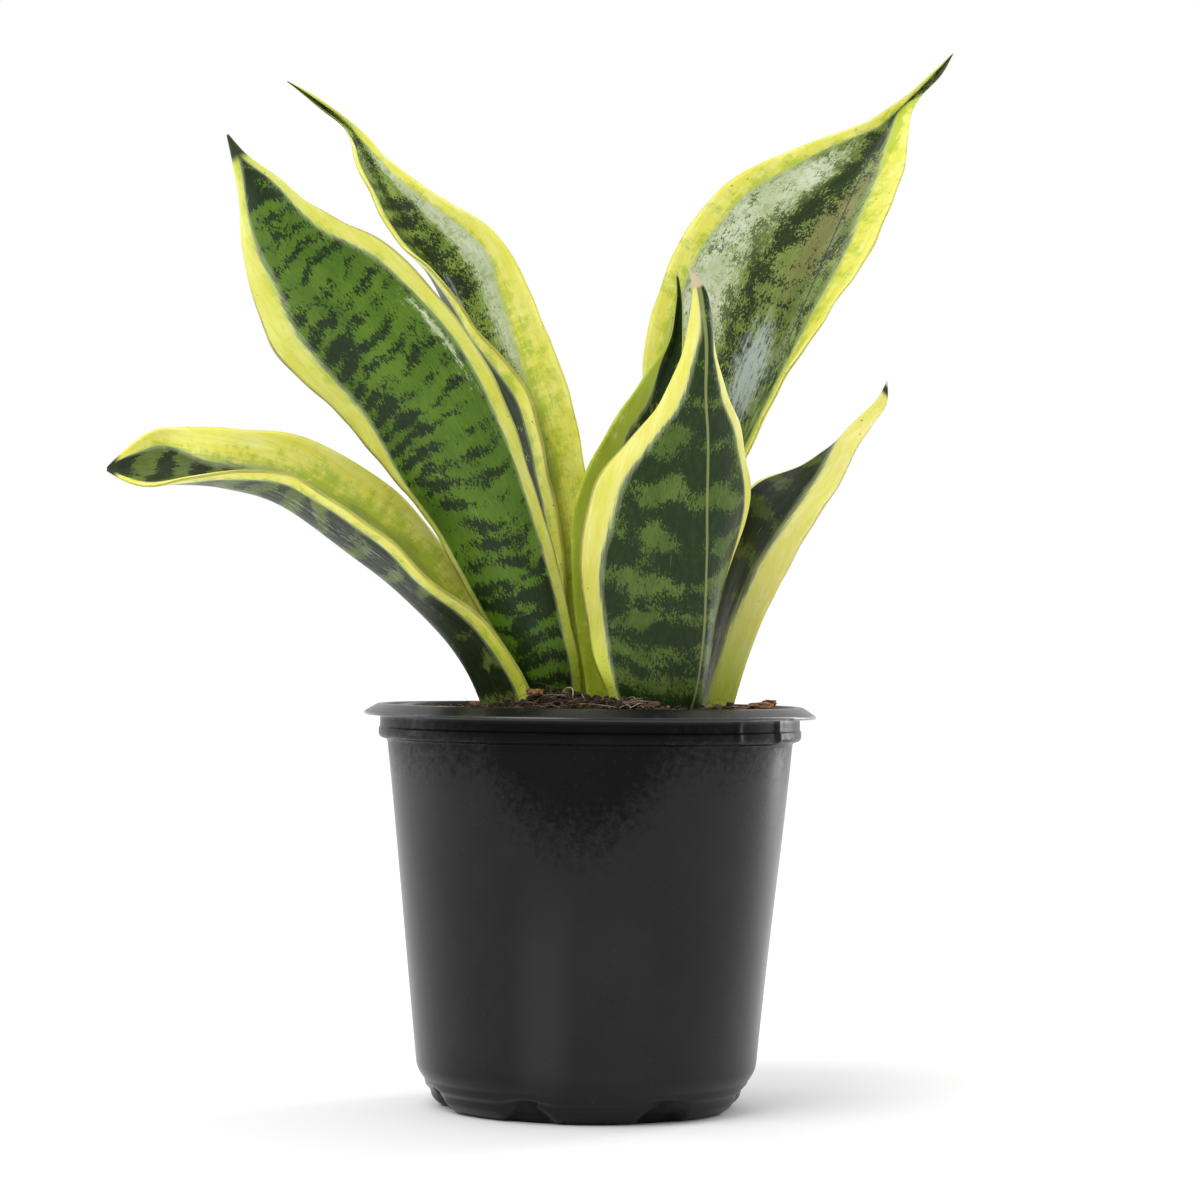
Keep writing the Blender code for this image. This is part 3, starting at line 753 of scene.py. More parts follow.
    def material(self, name: str) -> bpy.types.Material:
        """Build the material.

        Args:
            name: its name.

        Returns:
            The material.
        """
        surface = Surface(name)
        ragged = self.grown(surface, Growth.RAGGED_EDGE)
        length = surface.painted("along")
        edge = surface.painted("band") + (ragged - 0.5) * length.rise(0.94, 0.84) * 0.34
        inner_edge = edge.rise(0.8, 0.98) * edge.rise(1.24, 1.04)
        colour = surface.mix(edge.rise(0.93, 1.05), self.margins(surface), self.inside(surface))
        colour = surface.mix(inner_edge * 0.32, colour, self.pale)
        colour = self.blemishes(surface, colour)
        colour = surface.mix(length.rise(self.dark_tip, self.dark_tip + 0.015), colour, self.tip)
        dried = length.rise(self.dried_tip, self.dried_tip + 0.008)
        colour = surface.mix(dried, colour, self.husk)
        rough = self.gloss + (self.grown(surface, Growth.WEAR) - 0.5) * 0.24 + dried * 0.35
        return surface.finish(Base_Color=colour, Roughness=rough, Normal=self.relief(surface),
                              Specular_IOR_Level=self.level)


# ---- leaves --------------------------------------------------------------------------
FOOT_FLATNESS = 0.00005     # metres within which corners belong to a leaf's flat foot
TIP_TAPER = 0.12            # size of the last ring, drawn to the tip, against the one before


class LeafRings:
    """The cross-sections of a leaf, read from its solid in the frame."""

    def __init__(self, node: str) -> None:
        """Read a node's solid.

        Args:
            node: the CAD node.
        """
        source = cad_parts[node]
        solid = bpy.data.objects.new(node + "_read", source.data.copy())
        bpy.context.scene.collection.objects.link(solid)
        with edited(solid):
            bpy.ops.mesh.remove_doubles(threshold=WELD)
        self.points = points_of(solid)
        self.links: list[set[int]] = [set() for _ in self.points]
        for edge in solid.data.edges:
            first, second = edge.vertices
            self.links[first].add(second)
            self.links[second].add(first)
        bpy.data.objects.remove(solid, do_unlink=True)
        self.rings = self._aligned(self._levels())

    def _levels(self) -> list[list[int]]:
        """Corners grouped by how many edges they are from the foot.

        Returns:
            One list of corners for each ring.
        """
        low = self.points[:, 2].min()
        wave = [i for i, point in enumerate(self.points) if point[2] < low + FOOT_FLATNESS]
        seen = set(wave)
        levels = []
        while wave:
            levels.append(wave)
            after = {other for corner in wave for other in self.links[corner]} - seen
            seen |= after
            wave = sorted(after)
        return levels

    def _walk(self, level: list[int]) -> list[int]:
        """A ring's corners in order round it.

        Args:
            level: the corners, in any order.

        Returns:
            The corners, each next to its neighbours.
        """
        members = set(level)
        ring = [level[0]]
        while len(ring) < len(level):
            ahead = [c for c in self.links[ring[-1]] if c in members and c not in ring]
            if not ahead:
                break
            ring.append(ahead[0])
        return ring

    def _aligned(self, levels: list[list[int]]) -> np.ndarray:
        """Ring points in step with each other, without the buried foot and the tip's cap.

        Args:
            levels: the corners of each ring.

        Returns:
            One row of points for each ring.
        """
        rings = [self.points[self._walk(level)] for level in levels[1:-1]]
        tip = self.points[levels[-1]].mean(axis=0)
        rings.append(tip + (rings[-1] - rings[-1].mean(axis=0)) * TIP_TAPER)
        done = [rings[0]]
        for ring in rings[1:]:
            best = None
            for turned in (ring, ring[::-1]):
                for shift in range(len(ring)):
                    trial = np.roll(turned, shift, axis=0)
                    cost = ((trial - done[-1]) ** 2).sum()
                    if best is None or cost < best[0]:
                        best = (cost, trial)
            done.append(best[1])
        return np.array(done)

    def skins(self) -> tuple[np.ndarray, np.ndarray]:
        """The inner and the outer face, each from the left edge to the right.

        Returns:
            Two grids of points, one row for each ring.
        """
        count = self.rings.shape[1]
        half = count // 2
        widest = int(np.argmax([np.ptp(ring, axis=0).max() for ring in self.rings]))
        sides = np.linalg.norm(self.rings[widest] - np.roll(self.rings[widest], -1, axis=0),
                               axis=1)
        start = int(np.argmin([sides[j] + sides[(j + half) % count] for j in range(half)])) + 1
        rolled = np.roll(self.rings, -start, axis=1)
        first, second = rolled[:, :half], rolled[:, half:][:, ::-1]
        middle = (first[widest] + second[widest]) / 2
        keel = int(np.argmax(np.linalg.norm(first[widest] - second[widest], axis=1)))
        start, end = (0, keel) if keel >= half - 1 - keel else (keel, half - 1)
        cup = (middle[start] + middle[end]) / 2 - middle[(start + end) // 2]
        if np.dot(first[widest, keel] - second[widest, keel], cup) < 0:
            first, second = second, first
        rise = self.rings[widest + 1].mean(axis=0) - self.rings[widest].mean(axis=0)
        if np.dot(np.cross(first[widest, -1] - first[widest, 0], rise), cup) < 0:
            first, second = first[:, ::-1], second[:, ::-1]
        self.keel = int(np.argmax(np.linalg.norm(first[widest] - second[widest], axis=1)))
        return first, second


@dataclass
class LeafBlade:
    """One leaf: a fine closed blade lofted through the sections of its solid."""

    node: str
    skin: LeafSkin
    left_margin: Stations
    right_margin: Stations
    patches: tuple[Patch, ...] = ()
    ripple: float = 0.5
    ripple_pitch: float = 46.0
    ripple_fade: tuple[float, float, float] = (60.0, 0.6, 40.0)
    rows: int = 190
    columns: int = 30
    edge_crowding: float = 0.35
    edge_round: float = 0.9
    thinnest: float = 0.0004
    seam: float = 0.000002
    widest_band: float = 3.0

    def build(self) -> bpy.types.Object:
        """Model the blade.

        Returns:
            The finished mesh object.
        """
        rings = LeafRings(self.node)
        inner, outer = rings.skins()
        middle, thick, length, keel = self._lofted((inner + outer) / 2,
                                                   np.linalg.norm(inner - outer, axis=2),
                                                   rings.keel)
        across, span = self._spread(middle)
        middle = self._rippled(middle, across, length)
        ring = self._ring(middle, thick, span, across)
        piece = self._mesh(ring)
        self._describe(piece, span, length, across, keel)
        self._close(piece)
        return piece

    def _lofted(self, middle: np.ndarray, thick: np.ndarray, keel: int) \
            -> tuple[np.ndarray, np.ndarray, np.ndarray, np.ndarray]:
        """Finer rows and evenly spread columns of the middle surface.

        Args:
            middle: a grid of points halfway between the two faces.
            thick: thickness at each of them.
            keel: column of the keel.

        Returns:
            Points, thicknesses, the place of each row along the leaf, and the keel's
            place across each row from -1 to 1.
        """
        spine = middle.mean(axis=1)
        place = np.concatenate([[0], np.cumsum(np.linalg.norm(np.diff(spine, axis=0), axis=1))])
        rows = np.linspace(0, place[-1], self.rows)
        wide = middle.shape[1]
        grid = spline(place, middle.reshape(len(place), -1), rows).reshape(self.rows, wide, 3)
        body = np.maximum(spline(place, thick, rows), self.thinnest)
        fine, deep, ridge = [], [], []
        spots = (1 - np.cos(np.linspace(0, math.pi, self.columns))) / 2
        spots = self.edge_crowding * spots \
            + (1 - self.edge_crowding) * np.linspace(0, 1, self.columns)
        for row, depth in zip(grid, body):
            step = np.linalg.norm(np.diff(row, axis=0), axis=1)
            arc = np.concatenate([[0], np.cumsum(step)])
            fine.append(spline(arc / arc[-1], row, spots))
            deep.append(np.interp(spots, arc / arc[-1], depth))
            ridge.append(2 * arc[keel] / arc[-1] - 1)
        return np.array(fine), np.array(deep), rows, np.array(ridge)

    def _spread(self, middle: np.ndarray) -> tuple[np.ndarray, np.ndarray]:
        """Where each point lies in its row.

        Args:
            middle: a grid of points.

        Returns:
            Position across each row from -1 to 1, and each row's width.
        """
        step = np.linalg.norm(np.diff(middle, axis=1), axis=2)
        arc = np.concatenate([np.zeros((len(step), 1)), np.cumsum(step, axis=1)], axis=1)
        span = arc[:, -1]
        return 2 * arc / span[:, None] - 1, span

    def _normals(self, middle: np.ndarray) -> np.ndarray:
        """Unit vectors out of the inner face.

        Args:
            middle: a grid of points.

        Returns:
            One vector for each point.
        """
        normal = np.cross(np.gradient(middle, axis=1), np.gradient(middle, axis=0))
        return normal / np.maximum(np.linalg.norm(normal, axis=2, keepdims=True), 1e-12)

    def _wave(self, place: np.ndarray, pitch: float, shift: float) -> np.ndarray:
        """A sine along the leaf, its pitch and shift in the leaf's own pitch and seed."""
        return np.sin(place * 2 * math.pi / (pitch * self.ripple_pitch) + shift * self.skin.seed)

    def _rippled(self, middle: np.ndarray, across: np.ndarray,
                 length: np.ndarray) -> np.ndarray:
        """Edges that wave a little, as they grow.

        Args:
            middle: a grid of points.
            across: place across the leaf, -1 to 1.
            length: metres of each row from the foot.

        Returns:
            The grid with its edges waved.
        """
        place = length / MM
        foot, start, tip = self.ripple_fade
        fade = np.clip(place / foot - start, 0, 1) * np.clip((place[-1] - place) / tip, 0, 1)
        left = self._wave(place, 1.0, 1) + 0.5 * self._wave(place, 0.43, 2)
        right = self._wave(place, 1.2, 3) + 0.4 * self._wave(place, 0.37, 1)
        amount = np.where(across < 0, (left * fade)[:, None], (right * fade)[:, None])
        amount = amount * np.abs(across) ** 4 * self.ripple * MM
        return middle + self._normals(middle) * amount[..., None]

    def _ring(self, middle: np.ndarray, thick: np.ndarray, span: np.ndarray,
              across: np.ndarray) -> np.ndarray:
        """Closed rings: over the inner face, round the edge and back over the outer face.

        Args:
            middle: a grid of points halfway between the faces.
            thick: thickness at each of them.
            span: width of each row.
            across: place across the leaf, -1 to 1.

        Returns:
            One closed row of points for each row of the grid.
        """
        inset = (1 - np.abs(across)) * span[:, None] / 2
        depth = 1 - np.clip(inset / (self.edge_round * MM), 0, 1)
        bulge = np.sqrt(np.clip(1 - depth ** 2, 0, 1))
        half = self._normals(middle) * (thick * bulge / 2)[..., None]
        upper, lower = middle + half, (middle - half)[:, ::-1]
        return np.concatenate([upper, lower[:, 1:-1], upper[:, :1]], axis=1)

    def _mesh(self, ring: np.ndarray) -> bpy.types.Object:
        """A grid primitive laid over the rings.

        Args:
            ring: closed rows of points.

        Returns:
            The mesh object, its seam and ends still open.
        """
        rows, columns = ring.shape[:2]
        deselect()
        bpy.ops.mesh.primitive_grid_add(x_subdivisions=columns - 1, y_subdivisions=rows - 1,
                                        size=1)
        piece = bpy.context.object
        piece.name = self.node + "_blade"
        place_points(piece, ring.reshape(-1, 3))
        return piece

    def _describe(self, piece: bpy.types.Object, span: np.ndarray, length: np.ndarray,
                  across: np.ndarray, keel: np.ndarray) -> None:
        """Store on each corner where it is on the leaf.

        Args:
            piece: the mesh object.
            span: width of each row.
            length: metres of each row from the foot.
            across: place across the leaf, -1 to 1.
            keel: the keel's place across each row.
        """
        columns = across.shape[1]
        order = list(range(columns)) + list(range(columns - 2, 0, -1)) + [0]
        spot = across[:, order]
        rows = np.ones_like(spot)
        face = rows * np.array([1.0] * columns + [0.0] * (columns - 2) + [1.0])
        share = length / length[-1]
        left = (spot + 1) * span[:, None] / 2 / MM
        right = (1 - spot) * span[:, None] / 2 / MM
        band = np.minimum(left / along(self.left_margin, share)[:, None],
                          right / along(self.right_margin, share)[:, None])
        paint(piece, "across_mm", spot * span[:, None] / 2 / MM)
        paint(piece, "keel_mm", (spot - keel[:, None]) * span[:, None] / 2 / MM)
        paint(piece, "along_mm", rows * length[:, None] / MM)
        paint(piece, "along", rows * share[:, None])
        paint(piece, "band", np.minimum(band, self.widest_band))
        paint(piece, "inner", face)
        paint(piece, "lime", np.clip(band, 0, 1) ** 2)
        for zone in Zone:
            total = np.zeros_like(spot)
            for patch in self.patches:
                if patch.zone is zone:
                    total += patch.reach(spot, share[:, None], face)
            paint(piece, zone.value, total)

    def _close(self, piece: bpy.types.Object) -> None:
        """Weld the seam and fill the two ends.

        Args:
            piece: the mesh object.
        """
        with edited(piece):
            bpy.ops.mesh.remove_doubles(threshold=self.seam)
            bpy.ops.mesh.select_all(action="DESELECT")
            bpy.ops.mesh.select_non_manifold()
            bpy.ops.mesh.edge_face_add()
            face_outwards()
        bpy.ops.object.shade_smooth()

    def dress(self, piece: bpy.types.Object) -> None:
        """Give the blade its skin."""
        piece.data.materials.append(self.skin.material(self.node + "_skin"))

    def make(self) -> None:
        """Build, dress and place the leaf."""
        piece = self.build()
        self.dress(piece)
        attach(piece, BODY)
        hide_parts(self.node)
        log.info("%s: %d faces", piece.name, len(piece.data.polygons))


def plant_leaves() -> list[LeafBlade]:
    """The seven leaves with their own margins and markings.

    Returns:
        The leaves in the order they are built.
    """
    return [
        LeafBlade(
            "leaf_front_left",
            LeafSkin(seed=1.0, yellow=tone(218, 218, 88), cream=tone(232, 233, 140),
                     outer_dark=0.32, pitch=7.6, breadth=8.5, streak=2.4, sway=4.0, order=0.8,
                     grain=0.85, drift=0.35, dark_tip=0.955),
            left_margin=((0, 4.0), (0.3, 5.5), (0.6, 6.5), (0.8, 8.5), (0.93, 4.5), (1, 2.0)),
            right_margin=((0, 3.0), (0.42, 3.0), (0.6, 9.0), (0.78, 12.0), (0.92, 5.0), (1, 1.5)),
            patches=(
                Patch(Zone.DARK_AND_SHADE, 0.0, 0.08, 1.5, 0.22, 1.2),
                Patch(Zone.DARK_AND_SHADE, 0.4, 0.48, 0.3, 0.26, 0.9),
                Patch(Zone.DARK_AND_SHADE, 0.1, 0.97, 1.0, 0.08, 1.1),
                # painted highlight: a pale sliver along the upper left margin
                Patch(Zone.PALE_AND_HIGHLIGHT, -0.66, 0.6, 0.07, 0.1, 0.82),
            ),
        ),
        LeafBlade(
            "leaf_low_left",
            LeafSkin(seed=2.0, pitch=13.0, breadth=16.0, outer_dark=0.6, inner_dark=0.6,
                     green=tone(82, 98, 40), fresh=tone(116, 132, 64), deep=tone(30, 40, 20),
                     grain=0.5, lime_share=0.4, dark_tip=0.975, gloss=0.34),
            left_margin=((0, 5.0), (0.5, 5.5), (0.8, 6.0), (1, 1.5)),
            right_margin=((0, 10.0), (0.3, 15.0), (0.6, 17.0), (0.8, 13.0), (0.93, 6.0), (1, 1.0)),
            patches=(
                Patch(Zone.DARK_AND_SHADE, 0.2, 0.2, 1.0, 0.2, 1.2),
                Patch(Zone.OLIVE, 0.1, 0.45, 0.3, 0.2, 0.7),
                Patch(Zone.PAINTED_SHEEN, -0.45, 0.55, 0.3, 0.4, 0.55, (1.0, 0.0)),
                Patch(Zone.PALE_AND_HIGHLIGHT, 0.35, 0.62, 0.12, 0.2, 0.8, (0.0, 1.0)),
                Patch(Zone.GREENING_AND_SHADE, 0.4, 0.42, 0.4, 0.26, 1.3, (0.0, 1.0)),
                Patch(Zone.GREENING_AND_SHADE, 0.2, 0.6, 0.2, 0.2, 0.7, (0.0, 1.0)),
            ),
        ),
        LeafBlade(
            "leaf_back_left",
            LeafSkin(seed=3.0, pitch=9.0, breadth=10.0, inner_dark=0.4, outer_dark=0.75,
                     green=tone(112, 140, 50), fresh=tone(152, 174, 78),
                     lime_share=0.4, grain=1.0, order=0.4, dark_tip=0.985),
            left_margin=((0, 5.0), (0.5, 6.0), (0.75, 3.0), (0.84, 1.4), (0.88, 0.06), (1, 0.06)),
            right_margin=((0, 12.0), (0.45, 15.0), (0.57, 12.0), (0.66, 7.0), (0.75, 4.2),
                          (0.86, 2.2), (0.93, 1.1), (1, 0.1)),
            patches=(
                Patch(Zone.DARK_AND_SHADE, 0.05, 0.8, 0.42, 0.1, 0.95),
                Patch(Zone.DARK_AND_SHADE, -0.05, 0.66, 0.3, 0.1, 0.9),
                Patch(Zone.DARK_AND_SHADE, -0.5, 0.45, 0.4, 0.25, 1.2),
                Patch(Zone.OLIVE, 0.15, 0.72, 0.25, 0.06, 0.45),
                Patch(Zone.PALE_AND_HIGHLIGHT, 0.62, 0.77, 0.16, 0.1, 0.95, (0.4, 1.0)),
                Patch(Zone.PALE_AND_HIGHLIGHT, 0.6, 0.65, 0.22, 0.1, 1.1, (0.4, 1.0)),
                Patch(Zone.PALE_AND_HIGHLIGHT, 0.5, 0.53, 0.28, 0.12, 0.8, (0.4, 1.0)),
                Patch(Zone.PAINTED_SHEEN, -0.1, 0.6, 0.1, 0.07, 0.9, (0.0, 1.0)),
                Patch(Zone.GREENING_AND_SHADE, 0.7, 0.4, 0.5, 0.2, 0.55),
                Patch(Zone.DARK_AND_SHADE, -0.6, 1.0, 0.9, 0.09, 2.6),
            ),
        ),
        LeafBlade(
            "leaf_tall_right",
            LeafSkin(seed=4.0, pitch=9.0, breadth=5.5, inner_dark=0.46, outer_dark=0.62,
                     green=tone(94, 116, 48), fresh=tone(150, 166, 90), deep=tone(30, 45, 18),
                     olive=tone(134, 132, 80), lime_share=0.52, order=0.3, grain=1.1,
                     drift=0.4, gloss=0.33, keel_shade=0.7, dark_tip=2.0),
            left_margin=((0, 8.0), (0.5, 9.0), (0.7, 9.0), (0.84, 4.5), (0.92, 1.8),
                         (0.97, 0.6), (1, 0.1)),
            right_margin=((0, 10.0), (0.5, 11.0), (0.8, 13.0), (0.89, 7.0), (0.93, 0.06),
                          (1, 0.06)),
            patches=(
                Patch(Zone.PALE_AND_HIGHLIGHT, -0.55, 0.61, 0.28, 0.17, 1.05, (0.4, 1.0)),
                Patch(Zone.PALE_AND_HIGHLIGHT, -0.42, 0.75, 0.24, 0.06, 0.8, (0.4, 1.0)),
                Patch(Zone.PALE_AND_HIGHLIGHT, -0.35, 0.47, 0.25, 0.12, 0.6, (0.4, 1.0)),
                Patch(Zone.DARK_AND_SHADE, -0.08, 0.68, 0.15, 0.2, 1.5),
                Patch(Zone.DARK_AND_SHADE, 0.2, 0.88, 0.45, 0.07, 1.3),
                Patch(Zone.DARK_AND_SHADE, 0.8, 1.0, 1.2, 0.07, 2.6),
                Patch(Zone.OLIVE, 0.26, 0.71, 0.18, 0.13, 1.0),
                Patch(Zone.PAINTED_SHEEN, 0.22, 0.49, 0.22, 0.09, 1.2, (0.0, 1.0)),
            ),
        ),
        LeafBlade(
            "leaf_centre",
            LeafSkin(seed=5.0, pitch=8.5, breadth=6.5, inner_dark=0.55, outer_dark=0.55,
                     green=tone(96, 124, 36), fresh=tone(140, 164, 62), grain=1.0, order=0.5,
                     lime_share=0.95, dark_tip=0.97, dried_tip=0.985),
            left_margin=((0, 8.0), (0.4, 12.0), (0.7, 8.0), (0.86, 0.3), (1, 0.06)),
            right_margin=((0, 5.0), (0.6, 5.0), (0.84, 0.3), (1, 0.06)),
            patches=(Patch(Zone.DARK_AND_SHADE, 0.0, 0.9, 1.5, 0.16, 1.8),),
        ),
        LeafBlade(
            "leaf_front_right",
            LeafSkin(seed=6.0, pitch=14.0, breadth=13.0, outer_dark=0.66, grain=0.8, drift=0.3,
                     streak=1.8, sway=5.0, order=0.85, green=tone(68, 92, 26),
                     fresh=tone(98, 120, 52), deep=tone(21, 41, 7), lime_share=0.1,
                     yellow=tone(226, 221, 96), cream=tone(240, 236, 146),
                     rib_light=0.75, dark_tip=2.0, dried_tip=0.955),
            left_margin=((0, 3.0), (0.4, 5.0), (0.65, 6.5), (0.82, 3.0), (0.9, 0.08), (1, 0.06)),
            right_margin=((0, 5.0), (0.3, 8.0), (0.52, 11.5), (0.7, 9.5), (0.85, 6.0), (1, 1.5)),
        ),
        LeafBlade(
            "leaf_low_right",
            # darker greens than the other leaves: partly the leaf's own, partly painted shade on
            # this low leaf
            LeafSkin(seed=7.0, pitch=13.0, breadth=12.0, inner_dark=0.7, outer_dark=0.6,
                     green=tone(54, 68, 24), fresh=tone(74, 88, 36), deep=tone(15, 24, 9),
                     yellow=tone(229, 223, 112), cream=tone(240, 235, 164),
                     grain=0.6, lime_share=0.14, keel_shade=0.5, dark_tip=0.965, dried_tip=0.988),
            left_margin=((0, 1.2), (0.8, 0.8), (0.9, 4.0), (1, 4.0)),
            right_margin=((0, 11.0), (0.3, 13.0), (0.6, 13.5), (0.8, 11.0), (0.9, 9.0), (1, 6.0)),
        ),
    ]


# ---- nursery pot ---------------------------------------------------------------------
@dataclass(frozen=True)
class BlackPlastic:
    """Thin thermoformed plastic: near black, softly glossy, a little dusty and scuffed."""

    body: Colour = (0.0042, 0.0042, 0.0045)
    worn: Colour = (0.0078, 0.0078, 0.008)
    dust: Colour = (0.16, 0.125, 0.09)
    gloss: float = 0.3
    shine: float = 0.36
    level: float = 0.07
    bay_middle: float = -0.004
    bay_bend: float = 26.0
    bay_low: float = 0.098
    bay_high: float = 0.126
    streak_middle: float = -0.015
    streak_shine: float = 0.34
    collar_edge: tuple[float, float] = (0.1364, 0.1378)
    collar_shine: float = 0.36
    rim_low: tuple[float, float] = (0.1376, 0.1382)
    rim_high: tuple[float, float] = (0.1395, 0.1389)
    rim_shine: float = 0.64

    def coat(self, surface: Surface, place: bpy.types.NodeSocket) -> Amount:
        """How much the wall shines: matt under the collar, glossy below, bright on the lip.

        Args:
            surface: the material being made.
            place: Object coordinates, in metres.

        Returns:
            The weight of the coat.
        """
        split = surface.node("ShaderNodeSeparateXYZ", {}, {0: place})
        x, z = Amount(surface, split.outputs[0]), Amount(surface, split.outputs[2])
        off = x - self.bay_middle
        bay = (off * off * self.bay_bend + self.bay_low).lowest(self.bay_high)
        freckle = surface.noise(place, *Grain.PLASTIC_FRECKLE.value)
        sheen = (bay - z + (freckle - 0.5) * 0.06).rise(-0.014, 0.014)
        streak = ((x - self.streak_middle).size().rise(0.013, 0.002)
                  * z.rise(0.1, 0.03) * z.rise(0.004, 0.022))
        rim = z.rise(*self.rim_low) * z.rise(*self.rim_high)
        return (sheen * (self.shine + streak * self.streak_shine)
                + z.rise(*self.collar_edge) * self.collar_shine + rim * self.rim_shine)

    def material(self, name: str) -> bpy.types.Material:
        """Build the material.

        Args:
            name: its name.

        Returns:
            The material.
        """
        surface = Surface(name)
        place = surface.place()
        cloud = surface.noise(place, *Grain.PLASTIC_CLOUD.value)
        fine = surface.noise(place, *Grain.PLASTIC_FINE.value)
        specks = surface.spots(place, 420.0).rise(0.2, 0.1)
        some = surface.noise(place, *Grain.PLASTIC_DUSTY.value).rise(0.5, 0.62)
        soiled = surface.painted("dust")
        colour = surface.mix(cloud.rise(0.42, 0.7), self.body, self.worn)
        grit = surface.noise(place, *Grain.PLASTIC_GRIT.value).rise(0.56, 0.66)
        film = (soiled * (grit * 0.85 + 0.06)).highest(specks * some * 0.06)
        colour = surface.mix(film, colour, self.dust)
        rough = self.gloss + (cloud - 0.5) * 0.16 + (fine - 0.5) * 0.06 + film * 0.5
        orange_peel = surface.noise(place, *Grain.ORANGE_PEEL.value)
        sag = surface.noise(place, *Grain.PLASTIC_SAG.value)
        relief = surface.bump(sag, 0.3, 0.0008)
        relief = surface.bump(orange_peel, 0.06, 0.0001, relief)
        return surface.finish(Base_Color=colour, Roughness=rough, Normal=relief,
                              Specular_IOR_Level=self.level,
                              Coat_Weight=self.coat(surface, place), Coat_Roughness=0.24,
                              Coat_IOR=1.5)


